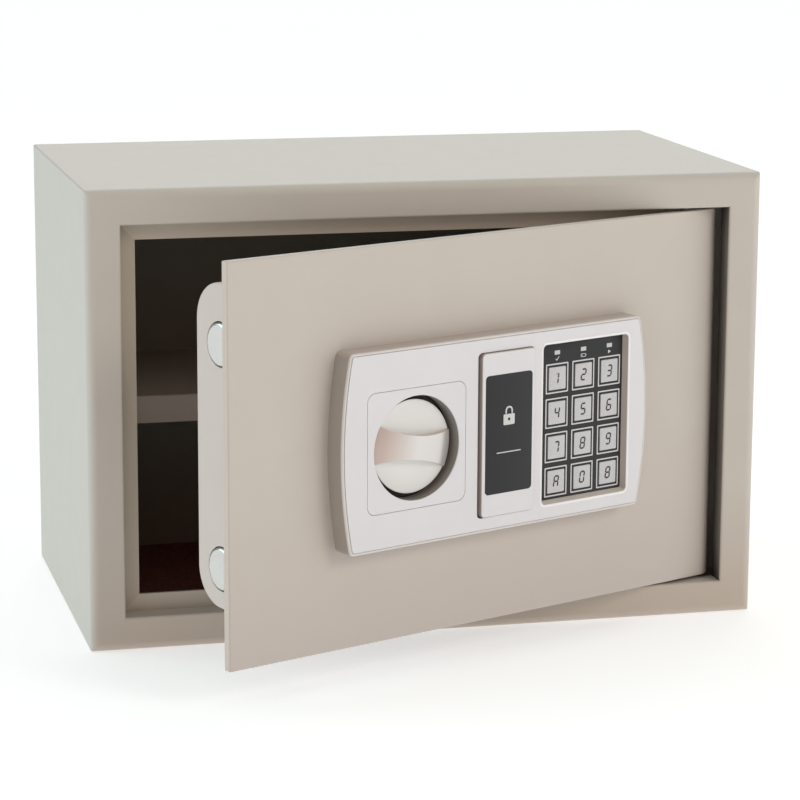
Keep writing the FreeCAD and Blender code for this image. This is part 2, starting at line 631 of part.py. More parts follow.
def make_knob():
    plate = Piece("knob_escutcheon", DOOR)
    plate.pad("y", SKIN_REAR, FASCIA_FRONT, centred("knob_across", "knob_up", "plate_half - fit_gap",
                                                    "plate_half - fit_gap"))
    plate.rounded("plate_corner", runs("y"))
    plate.pad("y", SKIN_REAR, DOOR_FRONT, circle("knob_across", "knob_up", "well_radius + well_wall"))
    plate.cut("y", FASCIA_FRONT, DOOR_FRONT + " - well_wall",
              circle("knob_across", "knob_up", "well_radius"))
    plate.cut("y", DOOR_FRONT + " - well_wall", DOOR_FRONT,
              circle("knob_across", "knob_up", "spindle_radius + fit_gap"))

    rim = FASCIA_FRONT + " + knob_sunk"
    crest = FASCIA_FRONT + " - knob_crest"
    under = DOOR_FRONT + " - well_wall - knob_gap"
    tip = number("knob_radius")
    end_across = "%.4f" % (tip ** 2 - number("grip_end") ** 2) ** 0.5
    knob = Piece("knob", DOOR * KNOB_TURN)
    knob.pad("y", under, rim, circle("knob_across", "knob_up", "knob_radius"))
    knob.pad("y", rim, crest, path(
        ("knob_across - knob_radius", "knob_up", "knob_across - " + end_across, "knob_up - grip_end"),
        ("knob_across", "knob_up - grip_waist", "knob_across + " + end_across, "knob_up - grip_end"),
        ("knob_across + knob_radius", "knob_up", "knob_across + " + end_across, "knob_up + grip_end"),
        ("knob_across", "knob_up + grip_waist", "knob_across - " + end_across, "knob_up + grip_end")))
    knob.cut("z", "knob_up - roll", "knob_up + roll", path(
        ("knob_across - knob_radius", crest + " - past"),
        ("knob_across - knob_radius", rim),
        ("knob_across", crest, "knob_across + knob_radius", rim),
        ("knob_across + knob_radius", crest + " - past")))

    bush = Piece("spindle_bush", DOOR)
    bush_rear = DOOR_REAR + " + bush_proud"
    bush.pad("y", bush_rear, DOOR_FRONT, circle("knob_across", "knob_up", "bush_radius"))
    bush.cut("y", DOOR_FRONT, bush_rear,
             circle("knob_across", "knob_up", "spindle_radius + running_gap"))

    crank_rear = "crank_front + crank_sheet"
    spindle = Piece("knob_spindle", DOOR)
    spindle.pad("y", crank_rear, under, circle("knob_across", "knob_up", "spindle_radius"))
    spindle.rounded("inner_bend / 2", lies("y", crank_rear))

    pin_across = "knob_across + crank_throw * diagonal"
    pin_up = "knob_up + crank_throw * diagonal"
    lean = "diagonal * (crank_hub - crank_pin)"
    crank = Piece("crank_arm", DOOR)
    crank.pad("y", crank_rear, "crank_front", circle("knob_across", "knob_up", "crank_hub"))
    crank.pad("y", crank_rear, "crank_front", path(
        ("knob_across - " + lean, "knob_up + " + lean), ("knob_across + " + lean, "knob_up - " + lean),
        ("%s + %s" % (pin_across, lean), "%s - %s" % (pin_up, lean)),
        ("%s - %s" % (pin_across, lean), "%s + %s" % (pin_up, lean))))
    crank.pad("y", crank_rear, "crank_front", circle(pin_across, pin_up, "crank_hub - crank_pin"))
    crank.pad("y", crank_rear, "bolt_deep + carriage_sheet", circle(pin_across, pin_up, "crank_pin"))
    crank.cut("y", "crank_front", crank_rear, circle("knob_across", "knob_up", "spindle_radius"))


def make_fascia():
    def bowed(shrink):
        half_width = "(fascia_half_width - %s)" % shrink
        half_height = "(fascia_half_height - %s)" % shrink
        left = "fascia_across - " + half_width
        right = "fascia_across + " + half_width
        low = "fascia_up - " + half_height
        high = "fascia_up + " + half_height
        return path((right, low), (right + " + fascia_bow", "fascia_up", right, high), (left, high),
                    (left + " - fascia_bow", "fascia_up", left, low))

    fascia = Piece("fascia", DOOR)
    fascia.pad("y", DOOR_FRONT, FASCIA_FRONT, bowed("0"))
    fascia.rounded("fascia_corner", runs("y"))
    fascia.rounded("fascia_edge", lies("y", FASCIA_FRONT))
    fascia.cut("y", DOOR_FRONT, SKIN_REAR, bowed("fascia_wall"))
    fascia.cut("y", FASCIA_FRONT, SKIN_REAR, centred("knob_across", "knob_up", "plate_half", "plate_half"))
    fascia.rounded("plate_corner", runs("y"), inside("x", "knob_across - plate_half - past",
                                                     "knob_across + plate_half + past"))
    fascia.cut("y", FASCIA_FRONT, SKIN_REAR, centred(
        "cover_across", "cover_up", "cover_half_width + cover_gap", "cover_half_height + cover_gap"))
    fascia.rounded("cover_corner", runs("y"), inside("x", "cover_across - cover_half_width - past",
                                                     "cover_across + cover_half_width + past"))
    fascia.cut("y", FASCIA_FRONT, SKIN_REAR,
               rectangle("window_left", "window_low", "window_right", "window_high"))
    fascia.rounded("window_corner", runs("y"), inside("x", "window_left - past", "window_right + past"))

    posts = Piece("fascia_screws", DOOR)
    posts.pad("y", DOOR_REAR + " + screw_shank", SKIN_REAR, several(
        [circle(x, z, "screw_shank") for x, z in STUDS]))
    posts.pad("y", DOOR_REAR, DOOR_REAR + " + screw_shank", several(
        [circle(x, z, "screw_head") for x, z in STUDS]))


def make_keypad():
    columns = ["key_across + %s * key_pitch_across" % step for step in ("-1", "0", "1")]
    rows = ["key_top - %d * key_pitch_up" % step for step in range(4)]
    overlay = Piece("keypad_overlay", DOOR)
    overlay.pad("y", OVERLAY_REAR, OVERLAY_FRONT, rectangle(
        "window_left + fit_gap", "window_low + fit_gap", "window_right - fit_gap", "window_high - fit_gap"))
    overlay.rounded("window_corner", runs("y"))
    overlay.cut("y", OVERLAY_FRONT, OVERLAY_REAR, several(
        [centred(x, z, "key_half_width + key_gap", "key_half_height + key_gap")
         for x in columns for z in rows]))
    overlay.cut("y", OVERLAY_FRONT, OVERLAY_REAR, several(
        [centred(x, "led_up", "led_half_width", "led_half_height") for x in columns]))

    lamps = Piece("status_lamps", DOOR)
    lamps.pad("y", OVERLAY_REAR, OVERLAY_FRONT, several(
        [centred(x, "led_up", "led_half_width", "led_half_height") for x in columns]))

    board = Piece("keypad_board", DOOR)
    board.pad("y", OVERLAY_REAR + " + board_thick", OVERLAY_REAR, rectangle(
        "window_left - board_lap_across", "window_low - board_lap_up",
        "window_right + board_lap_across", "window_high + board_lap_up"))

    key_front = OVERLAY_FRONT + " - key_proud"
    names = "1 2 3 4 5 6 7 8 9 a 0 b".split()
    for index, name in enumerate(names):
        key = Piece("key_" + name, DOOR)
        key.pad("y", key_front + " + key_thick", key_front,
                centred(columns[index % 3], rows[index // 3], "key_half_width", "key_half_height"))
        key.rounded("key_corner", runs("y"))


def make_emergency_lock():
    cover_front = FASCIA_FRONT + " - cover_proud"
    cover = Piece("emergency_cover", DOOR)
    cover.pad("y", cover_front + " + cover_thick", cover_front,
              centred("cover_across", "cover_up", "cover_half_width", "cover_half_height"))
    cover.rounded("cover_corner", runs("y"))
    cover.rounded("inner_bend / 2", lies("y", cover_front))
    cover.cut("y", cover_front, cover_front + " + label_sunk",
              centred("cover_across", "cover_up", "label_half_width + running_gap",
                      "label_half_height + running_gap"))
    label = Piece("cover_label", DOOR)
    label.pad("y", cover_front + " + label_sunk", cover_front + " + label_sunk - label_sheet",
              centred("cover_across", "cover_up", "label_half_width", "label_half_height"))
    label.rounded("cover_corner", runs("y"))

    cylinder = Piece("key_cylinder", DOOR)
    cylinder.pad("y", "cylinder_rear", "cylinder_front",
                 circle("cover_across", "cover_up", "cylinder_radius"))
    cylinder.pad("y", DOOR_FRONT, DOOR_FRONT + " - flange_thick",
                 circle("cover_across", "cover_up", "cylinder_flange"))
    cylinder.cut("y", "cylinder_front", "cylinder_rear",
                 circle("cover_across", "cover_up", "plug_radius + running_gap"))
    nut = Piece("cylinder_nut", DOOR)
    nut_rear = DOOR_REAR + " + nut_thick"
    nut.pad("y", nut_rear, DOOR_REAR, circle("cover_across", "cover_up", "cylinder_flange + nut_lap"))
    nut.cut("y", DOOR_REAR, nut_rear, circle("cover_across", "cover_up", "cylinder_radius"))

    plug = Piece("key_plug", DOOR)
    plug_rear = "cylinder_rear + plug_proud"
    plug.pad("y", plug_rear, "cylinder_front", circle("cover_across", "cover_up", "plug_radius"))
    plug.cut("y", "cylinder_front", "cylinder_front + keyway_deep",
             centred("cover_across", "cover_up", "keyway_half_width", "keyway_half_height"))
    cam = Piece("key_cam", DOOR)
    cam.pad("y", plug_rear + " + cam_sheet", plug_rear, rectangle(
        "cover_across - cam_half_width", "cover_up - cam_tail",
        "cover_across + cam_half_width", "cover_up + cam_reach"))
    cam.rounded("cover_corner", runs("y"))


def make_solenoid():
    front = "bolt_deep - coil_radius - solenoid_sheet"
    rear = "bolt_deep + coil_radius"
    left = "solenoid_across - coil_radius - solenoid_side"
    right = "solenoid_across + coil_radius + solenoid_side"
    low = "solenoid_low + solenoid_sheet"
    high = "solenoid_high - solenoid_sheet"
    bore = circle("solenoid_across", "bolt_deep", "plunger_radius + running_gap * 2")
    frame = Piece("solenoid_frame", DOOR)
    frame.pad("x", left, right, path(
        (front, "solenoid_low"), (rear, "solenoid_low"), (rear, low),
        (front + " + solenoid_sheet", low), (front + " + solenoid_sheet", high),
        (rear, high), (rear, "solenoid_high"), (front, "solenoid_high")))
    frame.pad("y", front, DOOR_REAR,
              rectangle(left, "solenoid_high - solenoid_foot", right, "solenoid_high"))
    frame.cut("z", "solenoid_high", "solenoid_low", bore)
    coil = Piece("solenoid_coil", DOOR)
    coil.pad("z", low, high, circle("solenoid_across", "bolt_deep", "coil_radius"))
    coil.cut("z", high, low, bore)
    plunger = Piece("solenoid_plunger", DOOR)
    plunger.pad("z", "carriage_arm_high + key_proud", "solenoid_high - plunger_short",
                circle("solenoid_across", "bolt_deep", "plunger_radius"))
    plunger.chamfered("inner_bend / 2", lies("z", "carriage_arm_high + key_proud"))


def make_battery():
    box = Piece("battery_box", DOOR)
    box.pad("y", HOUSING_IN, "box_front",
            centred("battery_across", "battery_up", "box_half_width", "box_half_height"))
    box.cut("y", HOUSING_IN, "box_front + box_wall", centred(
        "battery_across", "battery_up", "box_half_width - box_wall", "box_half_height - box_wall"))
    cells = Piece("battery_cells", DOOR)
    spots = ["battery_up + %s * battery_pitch" % step for step in ("-1.5", "-0.5", "0.5", "1.5")]
    body_end = "battery_across + battery_half_long"
    cells.pad("x", "battery_across - battery_half_long", body_end, several(
        [circle("battery_deep", z, "battery_radius") for z in spots]))
    cells.pad("x", body_end, body_end + " + terminal_proud", several(
        [circle("battery_deep", z, "terminal_radius") for z in spots]))

    lid = Piece("battery_cover", DOOR)
    lid.pad("y", "housing_rear + lid_thick", "housing_rear", centred(
        "battery_across", "battery_up", "box_half_width + lid_lap", "box_half_height + lid_lap"))
    lid.rounded("cover_corner", runs("y"))
    lid.rounded("inner_bend / 2", lies("y", "housing_rear + lid_thick"))

    button = Piece("reset_button", DOOR)
    button_rear = "housing_rear + reset_proud"
    button.pad("y", HOUSING_IN + " - reset_deep", button_rear,
               circle("reset_across", "reset_up", "reset_radius"))
    button.rounded("inner_bend / 2", lies("y", button_rear))


def main():
    make_cabinet()
    make_stops()
    make_hinge("upper", "door_high", "1")
    make_hinge("lower", "door_low", "-1")
    make_interior()
    make_door_plate()
    make_housing()
    make_bolt_work()
    make_knob()
    make_fascia()
    make_keypad()
    make_emergency_lock()
    make_solenoid()
    make_battery()
    doc.recompute()

    for item in doc.Objects:
        if "Invalid" in item.State or "Error" in item.State:
            raise RuntimeError("%s did not compute: %s" % (item.Name, item.State))
    os.makedirs("parts", exist_ok=True)
    for body in pieces:
        shape = body.Shape
        if shape.isNull() or not shape.isValid() or not shape.Solids:
            raise RuntimeError("%s has no valid solid" % body.Label)
        shape.exportStep("parts/%s.step" % body.Label)
        print("%-24s solids %d  volume %10.1f" % (body.Label, len(shape.Solids), shape.Volume))
    print("%d sub-parts" % len(pieces))


main()
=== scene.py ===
"""Looks of the in-room safe: light, camera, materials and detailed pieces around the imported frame."""

import json
import math

import bmesh
import bpy
import numpy as np
from mathutils import Matrix, Vector
from mathutils.geometry import tessellate_polygon


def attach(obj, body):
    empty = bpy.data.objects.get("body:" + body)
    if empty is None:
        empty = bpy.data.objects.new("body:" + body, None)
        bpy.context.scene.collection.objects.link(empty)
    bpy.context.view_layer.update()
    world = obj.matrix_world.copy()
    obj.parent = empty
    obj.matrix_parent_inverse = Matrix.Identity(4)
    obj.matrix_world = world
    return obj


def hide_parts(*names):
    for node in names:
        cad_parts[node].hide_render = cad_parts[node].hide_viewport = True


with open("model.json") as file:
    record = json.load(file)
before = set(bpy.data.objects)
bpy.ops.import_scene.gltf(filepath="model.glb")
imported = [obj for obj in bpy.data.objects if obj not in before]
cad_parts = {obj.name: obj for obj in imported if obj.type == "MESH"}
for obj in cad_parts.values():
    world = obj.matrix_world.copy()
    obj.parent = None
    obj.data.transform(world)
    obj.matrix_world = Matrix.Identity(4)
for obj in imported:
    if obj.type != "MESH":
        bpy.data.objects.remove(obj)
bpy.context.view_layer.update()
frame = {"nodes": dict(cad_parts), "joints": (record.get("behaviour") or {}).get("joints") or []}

# Door pieces are modelled with the door shut. DOOR takes them to where the door stands at rest.
MM = 0.001
HINGE = next(j for j in frame["joints"] if j["name"] == "door_hinge")
PIVOT = Vector(HINGE["pos_m"])
OPEN_ANGLE = math.radians(-HINGE["range_deg"][0])
DOOR = Matrix.Translation(PIVOT) @ Matrix.Rotation(OPEN_ANGLE, 4, "Z") @ Matrix.Translation(-PIVOT)
SHUT = DOOR.inverted()


# Materials

TINT_FROM, TINT_TO = 0.3, 0.7
ROUGH_SWING, LEAST_ROUGH, GLOSS_FINER = 0.06, 0.02, 4
COAT_ROUGH = 0.2
TINT_DETAIL, GRAIN_DETAIL, PEEL_DETAIL = 3.0, 2.0, 1.0


def shader(name, colour, rough, metal=0.0, tint=0.04, tint_scale=60, grain=0.0, grain_scale=900,
           peel=0.0, peel_scale=250, coat=0.0, specular=0.5):
    """A surface whose colour drifts by the share tint and whose gloss drifts too. grain and peel are
    depths of relief in millimetres, and each scale is a noise scale in object space."""
    material = bpy.data.materials.new(name)
    material.use_nodes = True
    nodes, links = material.node_tree.nodes, material.node_tree.links
    principled = nodes["Principled BSDF"]
    for socket, value in (("Metallic", metal), ("Coat Weight", coat), ("Coat Roughness", COAT_ROUGH),
                          ("Specular IOR Level", specular)):
        principled.inputs[socket].default_value = value
    place = nodes.new("ShaderNodeTexCoord").outputs["Object"]

    def noise(scale, detail=TINT_DETAIL):
        node = nodes.new("ShaderNodeTexNoise")
        node.inputs["Scale"].default_value = scale
        node.inputs["Detail"].default_value = detail
        links.new(place, node.inputs["Vector"])
        return node.outputs["Fac"]

    ramp = nodes.new("ShaderNodeValToRGB")
    dark, light = ramp.color_ramp.elements
    dark.position, light.position = TINT_FROM, TINT_TO
    dark.color = (*[c * (1 - tint) for c in colour], 1)
    light.color = (*[min(1, c * (1 + tint)) for c in colour], 1)
    links.new(noise(tint_scale), ramp.inputs["Fac"])
    links.new(ramp.outputs["Color"], principled.inputs["Base Color"])
    gloss = nodes.new("ShaderNodeMapRange")
    gloss.inputs["To Min"].default_value = max(LEAST_ROUGH, rough - ROUGH_SWING)
    gloss.inputs["To Max"].default_value = min(1.0, rough + ROUGH_SWING)
    links.new(noise(tint_scale * GLOSS_FINER), gloss.inputs["Value"])
    links.new(gloss.outputs["Result"], principled.inputs["Roughness"])
    normal = None
    for depth, scale, detail in ((grain, grain_scale, GRAIN_DETAIL), (peel, peel_scale, PEEL_DETAIL)):
        if depth:
            bump = nodes.new("ShaderNodeBump")
            bump.inputs["Distance"].default_value = depth * MM
            links.new(noise(scale, detail), bump.inputs["Height"])
            if normal:
                links.new(normal, bump.inputs["Normal"])
            normal = bump.outputs["Normal"]
    if normal:
        links.new(normal, principled.inputs["Normal"])
    return material


def srgb(red, green, blue):
    """Linear colour of an sRGB one given out of 255."""
    return tuple((c / 255 / 12.92 if c < 11 else ((c / 255 + 0.055) / 1.055) ** 2.4)
                 for c in (red, green, blue))


POWDER = dict(grain=0.02, grain_scale=1400)
STOP_COAT = dict(POWDER, peel=0.02, tint=0.012)
OUTER_COAT = dict(STOP_COAT, peel_scale=420)
INNER_COAT = dict(STOP_COAT, tint=0.02)
MOULDED = dict(metal=0.2, tint=0.012, grain=0.003, grain_scale=3500)
MOULDED_WALL = dict(metal=0.1, tint=0.02, grain=0.006, grain_scale=3500)
MOULDED_EDGE = dict(MOULDED_WALL, grain=0.004)
INK = dict(tint=0.05, tint_scale=1500)

# Name, sRGB colour, roughness and the shader's other settings.
PAINTS = (
    ("cabinet_paint", (200, 192, 183), 0.5, OUTER_COAT),
    ("door_paint", (199, 190, 182), 0.48, OUTER_COAT),
    # interior_paint, back_paint and shelf_paint are the cabinet's paint darkened: painted shade of the deep
    # interior.
    ("interior_paint", (124, 118, 106), 0.55, INNER_COAT),
    ("housing_paint", (209, 196, 188), 0.48, OUTER_COAT),
    ("back_paint", (124, 118, 106), 0.55, INNER_COAT),
    ("stop_paint", (192, 182, 168), 0.5, STOP_COAT),
    # The left stop's copy of stop_paint below is darker: painted shade.
    ("stop_painted_shade", (180, 170, 154), 0.5, STOP_COAT),
    ("shelf_paint", (154, 143, 133), 0.5, dict(POWDER, tint=0.02)),
    ("zinc_steel", (190, 190, 188), 0.32, dict(metal=0.9, tint=0.08, tint_scale=120, grain=0.01)),
    ("bolt_steel", (206, 205, 202), 0.26, dict(metal=0.95, tint=0.03, grain=0.004)),
    ("fascia_plastic", (219, 216, 219), 0.38, MOULDED),
    # The fascia's side walls take a darker taupe copy of its plastic: painted shade and painted reflection of
    # the door.
    ("fascia_wall", (172, 163, 154), 0.42, MOULDED_WALL),
    # The rounded ledge takes a warmer copy of the fascia plastic: painted warm light on the rounding.
    ("ridge_painted_light", (214, 208, 204), 0.4, MOULDED_EDGE),
    # The keypad window's sloping wall and the cover's side walls take a darker beige copy of the plastic:
    # painted shade.
    ("bezel_painted_shade", (206, 196, 188), 0.42, MOULDED_EDGE),
    # The bead round the keypad window takes a whiter copy of the plastic: a painted highlight.
    ("lip_painted_highlight", (238, 236, 237), 0.35, dict(MOULDED_EDGE, tint=0.01)),
    # The knob well's wall is the escutcheon plastic darkened: painted shade.
    ("well_wall", (158, 152, 145), 0.4, dict(MOULDED_WALL, tint=0.03)),
    # A near-black for the well's floor, the knob's rear and hub, and the screws' recess bases: painted shade.
    ("hollow_painted_shade", (52, 48, 44), 0.55, dict(tint=0.06, grain=0.01)),
    ("knob_satin", (224, 222, 220), 0.36, MOULDED),
    ("grip_satin", (218, 213, 211), 0.3, dict(MOULDED, metal=0.62, grain=0.002)),
    ("overlay_dark", (37, 36, 40), 0.42,
     dict(tint=0.06, tint_scale=900, grain=0.006, grain_scale=2500, specular=0.35)),
    ("print_silver", (208, 207, 208), 0.4, INK),
    ("print_dark", (44, 42, 46), 0.45, INK),
    ("key_grey", (198, 197, 199), 0.42, dict(tint=0.13, tint_scale=2600, grain=0.008, grain_scale=2500)),
    ("lamp_lens", (196, 196, 198), 0.2, dict(tint=0.04, tint_scale=600, coat=0.5)),
    ("board_green", (28, 92, 56), 0.4, dict(tint=0.1, tint_scale=400, grain=0.01)),
    ("coil_copper", (184, 110, 62), 0.35, dict(metal=0.9, tint=0.1, tint_scale=500, grain=0.03)),
    ("lock_brass", (196, 164, 96), 0.3, dict(metal=0.95, tint=0.06, tint_scale=200, grain=0.006)),
    ("battery_skin", (46, 74, 120), 0.32, dict(tint=0.05, tint_scale=200, coat=0.3)),
    ("battery_black", (38, 38, 40), 0.5, dict(tint=0.08, tint_scale=200, grain=0.03)),
    ("carpet_red", (134, 84, 78), 0.95,
     dict(tint=0.25, tint_scale=700, grain=0.25, grain_scale=1100, specular=0.1)),
    ("button_red", (170, 30, 30), 0.4, dict(tint=0.05, grain=0.01)),
)
FINISH = {name: shader(name, srgb(*colour), rough, **more) for name, colour, rough, more in PAINTS}

# Painted light and shade, and the back panel's own outside colour, that depend on where a face looks and
# where it is. Lengths are in metres.

GAP_WALL_X, GAP_REACH, GAP_DEEP, GAP_SHADE = 0.1345, 0.003, 0.016, 2.0
# A colour Mix node's sockets go by number, because its other data types use the same names.
MIX_FACTOR, MIX_FIRST, MIX_SECOND, MIX_RESULT = 0, 6, 7, 2


def maths(tree, kind, *values, clamp=False):
    """A maths node; each value is a number or a socket."""
    node = tree.nodes.new("ShaderNodeMath")
    node.operation = kind
    node.use_clamp = clamp
    for socket, value in zip(node.inputs, values):
        if isinstance(value, (int, float)):
            socket.default_value = value
        else:
            tree.links.new(value, socket)
    return node.outputs["Value"]


def component(tree, vector, axis):
    split = tree.nodes.new("ShaderNodeSeparateXYZ")
    tree.links.new(vector, split.inputs["Vector"])
    return split.outputs[axis]


def rise(tree, value, none_at, full_at):
    """0 where a value is none_at, 1 where it is full_at, and in proportion between them."""
    level = tree.nodes.new("ShaderNodeMapRange")
    level.inputs["From Min"].default_value = none_at
    level.inputs["From Max"].default_value = full_at
    tree.links.new(value, level.inputs["Value"])
    return level.outputs["Result"]


def paint_sockets(material):
    """The base colour's input, and the output that feeds it now."""
    base = material.node_tree.nodes["Principled BSDF"].inputs["Base Color"]
    return base, base.links[0].from_socket


def shade_gap(material):
    """Darkens the wall beside the door's rolled edge, which faces -X, where little light gets in."""
    tree = material.node_tree
    base, paint = paint_sockets(material)
    place = tree.nodes.new("ShaderNodeTexCoord")
    away = maths(tree, "SUBTRACT", component(tree, place.outputs["Object"], "X"), GAP_WALL_X)
    near = rise(tree, maths(tree, "ABSOLUTE", away), GAP_REACH * 2, GAP_REACH)
    turned_left = maths(tree, "MULTIPLY", component(tree, place.outputs["Normal"], "X"), -1.0)
    facing = maths(tree, "MAXIMUM", turned_left, 0.0)
    hidden = tree.nodes.new("ShaderNodeAmbientOcclusion")
    hidden.inputs["Distance"].default_value = GAP_DEEP
    shade = tree.nodes.new("ShaderNodeMix")
    shade.inputs["A"].default_value = 1.0
    tree.links.new(maths(tree, "MULTIPLY", near, facing), shade.inputs["Factor"])
    tree.links.new(maths(tree, "POWER", hidden.outputs["AO"], GAP_SHADE), shade.inputs["B"])
    scaled = tree.nodes.new("ShaderNodeVectorMath")
    scaled.operation = "SCALE"
    tree.links.new(paint, scaled.inputs[0])
    tree.links.new(shade.outputs["Result"], scaled.inputs["Scale"])
    tree.links.new(scaled.outputs["Vector"], base)


def facing_tint_and_painted_light(name, axis, sign, colour, gain=1.0, fade=None):
    """Tints the faces that look along an axis, less as they turn away; most calls paint light or shade with
    it.
    fade is the height up to which the tint is full and the height from which there is none."""
    tree = FINISH[name].node_tree
    base, paint = paint_sockets(FINISH[name])
    place = tree.nodes.new("ShaderNodeTexCoord")
    amount = maths(tree, "MULTIPLY", component(tree, place.outputs["Normal"], axis), sign * gain, clamp=True)
    if fade:
        full_at, none_at = fade
        low = rise(tree, component(tree, place.outputs["Object"], "Z"), none_at, full_at)
        amount = maths(tree, "MULTIPLY", amount, low)
    coat = tree.nodes.new("ShaderNodeMix")
    coat.data_type = "RGBA"
    coat.inputs[MIX_SECOND].default_value = (*srgb(*colour), 1)
    tree.links.new(amount, coat.inputs[MIX_FACTOR])
    tree.links.new(paint, coat.inputs[MIX_FIRST])
    tree.links.new(coat.outputs[MIX_RESULT], base)


shade_gap(FINISH["cabinet_paint"])
# Painted shade: the fronts of the frame and the door grow darker and warmer towards the bottom.
facing_tint_and_painted_light("cabinet_paint", "Y", -1, (190, 178, 165), fade=(0.008, 0.06))
facing_tint_and_painted_light("door_paint", "Y", -1, (191, 181, 174), fade=(0.017, 0.09))
# The back panel's outside takes the cabinet's own colour; its inside keeps the painted shade.
facing_tint_and_painted_light("back_paint", "Y", 1, (200, 192, 183))
# Painted light: the door's free edge, facing -X, is lighter and warmer.
facing_tint_and_painted_light("door_paint", "X", -1, (207, 190, 179))
# Painted light: the fascia's upward-facing walls are lighter.
facing_tint_and_painted_light("fascia_wall", "Z", 1, (196, 184, 177))
# Painted shade: the keypad window's right wall, facing -X, is darker.
facing_tint_and_painted_light("bezel_painted_shade", "X", -1, (172, 160, 154))
# Painted reflection: the grip's left end, facing -X, is darker and pinker.
facing_tint_and_painted_light("grip_satin", "X", -1, (200, 180, 171), gain=3.0)

# CAD pieces take their slot's finish, and a few take one of their own.
OWN_FINISH = {"shelf": "shelf_paint", "lock_housing": "housing_paint", "back_panel": "back_paint",
              # The left door stop takes the darker copy of the stop paint: painted shade.
              "door_stop_left": "stop_painted_shade", "door_stop_top": "stop_paint",
              "door_stop_bottom": "stop_paint"}
for name, node in frame["nodes"].items():
    slot_name = node.data.materials[0].name.split(".")[0]
    node.data.materials[0] = FINISH[OWN_FINISH.get(name, slot_name)]


# Building blocks. Lengths are in millimetres. An outline is a function that gives its points
# (across, up) for an inset, and it runs anticlockwise seen from the front. A profile is a list of
# (inset, depth) or (inset, depth, material).

LEAST_CORNER = 0.02
SAME_DEPTH = 1e-6
WELD = 1e-7
QUARTER = math.pi / 2
CORNERS = ((-1, -1), (1, -1), (1, 1), (-1, 1))
EDGE_STEPS, RIM_STEPS, SLAB_STEPS, HOLE_STEPS = 5, 4, 3, 48
SMOOTH_WEIGHT = 100


def sweep(start, end, steps):
    return [start + (end - start) * i / steps for i in range(steps + 1)]


def arc(across, up, radius, angles):
    return [(across + radius * math.cos(a), up + radius * math.sin(a)) for a in angles]


def rounded_box(across, up, half_width, half_height, corner, steps=8):
    def ring(inset):
        radius = max(corner - inset, LEAST_CORNER)
        w, h = half_width - inset - radius, half_height - inset - radius
        points = []
        for turn, (side, level) in enumerate(((1, 1), (-1, 1), (-1, -1), (1, -1))):
            points += arc(across + side * w, up + level * h, radius,
                          [QUARTER * (turn + step / steps) for step in range(steps + 1)])
        return points
    return ring


def disc(across, up, radius, steps=96):
    return lambda inset: arc(across, up, radius - inset, [math.tau * i / steps for i in range(steps)])


def polygon(points):
    """A fixed outline, whatever the inset."""
    return lambda inset: points


def shrunk(outline, by):
    return lambda inset: outline(inset + by)


def node_points(node, place=SHUT):
    """A node's vertices in millimetres, with the door shut unless another place is given."""
    return np.array([place @ v.co for v in frame["nodes"][node].data.vertices]) / MM


class Box:
    """The box around some points. Its front is the side at low Y."""

    def __init__(self, points):
        self.low, self.high = points.min(0), points.max(0)
        self.across, self.deep, self.up = (self.low + self.high) / 2
        self.half_wide, self.half_deep, self.half_high = (self.high - self.low) / 2
        self.front, self.rear = self.low[1], self.high[1]

    def outline(self, corner, grow=0.0, steps=8):
        return rounded_box(self.across, self.up, self.half_wide + grow, self.half_high + grow, corner, steps)


def node_box(node):
    return Box(node_points(node))


def round_over(radius, front, steps=EDGE_STEPS):
    """Profile of a rounded front edge, from the face back to the side wall."""
    return [(radius * (1 - math.sin(a)), front + radius * (1 - math.cos(a)))
            for a in sweep(0, QUARTER, steps)]


def opened(profile):
    """A profile turned outwards, for the rim of a hole."""
    return [(-inset, depth) for inset, depth in profile]


def bridge(bm, near, far, material=0):
    """Faces between two closed rings. A ring may be a single vertex, and the faces then meet in it."""
    count = max(len(near), len(far))
    for i in range(count):
        j = (i + 1) % count
        corners = (near[i % len(near)], near[j % len(near)], far[j % len(far)], far[i % len(far)])
        bm.faces.new(tuple(dict.fromkeys(corners))).material_index = material


def add_solid(bm, outline, profile, holes=(), face=0, side=None, back=None):
    """A closed solid. Its profile runs from the front cap's rim round to the back cap's rim, and each hole
    is an (outline, profile) that runs between the same two caps. face, side and back are the materials
    of the front cap, the walls and the back cap. A flat ring near the front takes the front cap's, and a
    profile that gives a material overrides these."""
    side = face if side is None else side
    back = side if back is None else back
    rims = []
    for shape, steps in ((outline, profile), *holes):
        rings = [[bm.verts.new((x * MM, step[1] * MM, z * MM)) for x, z in shape(step[0])] for step in steps]
        for index, (near, far) in enumerate(zip(rings, rings[1:])):
            here, there = steps[index], steps[index + 1]
            flat = abs(here[1] - there[1]) < SAME_DEPTH
            plain = face if flat and index < len(rings) / 2 else side
            bridge(bm, near, far, there[2] if len(there) > 2 else plain)
        rims.append((rings[0], rings[-1]))
    for end, material in ((0, face), (1, back)):
        loops = [[v.co.copy() for v in rim[end]] for rim in rims]
        verts = [v for rim in rims for v in rim[end]]
        for triangle in tessellate_polygon(loops):
            corners = [verts[i] for i in triangle]
            if len(set(corners)) == 3:
                bm.faces.new(corners).material_index = material


def slab(bm, outline, front, rear, edge):
    """A flat plate with softened front edges."""
    add_solid(bm, outline, [*round_over(edge, front, SLAB_STEPS), (0, rear)])


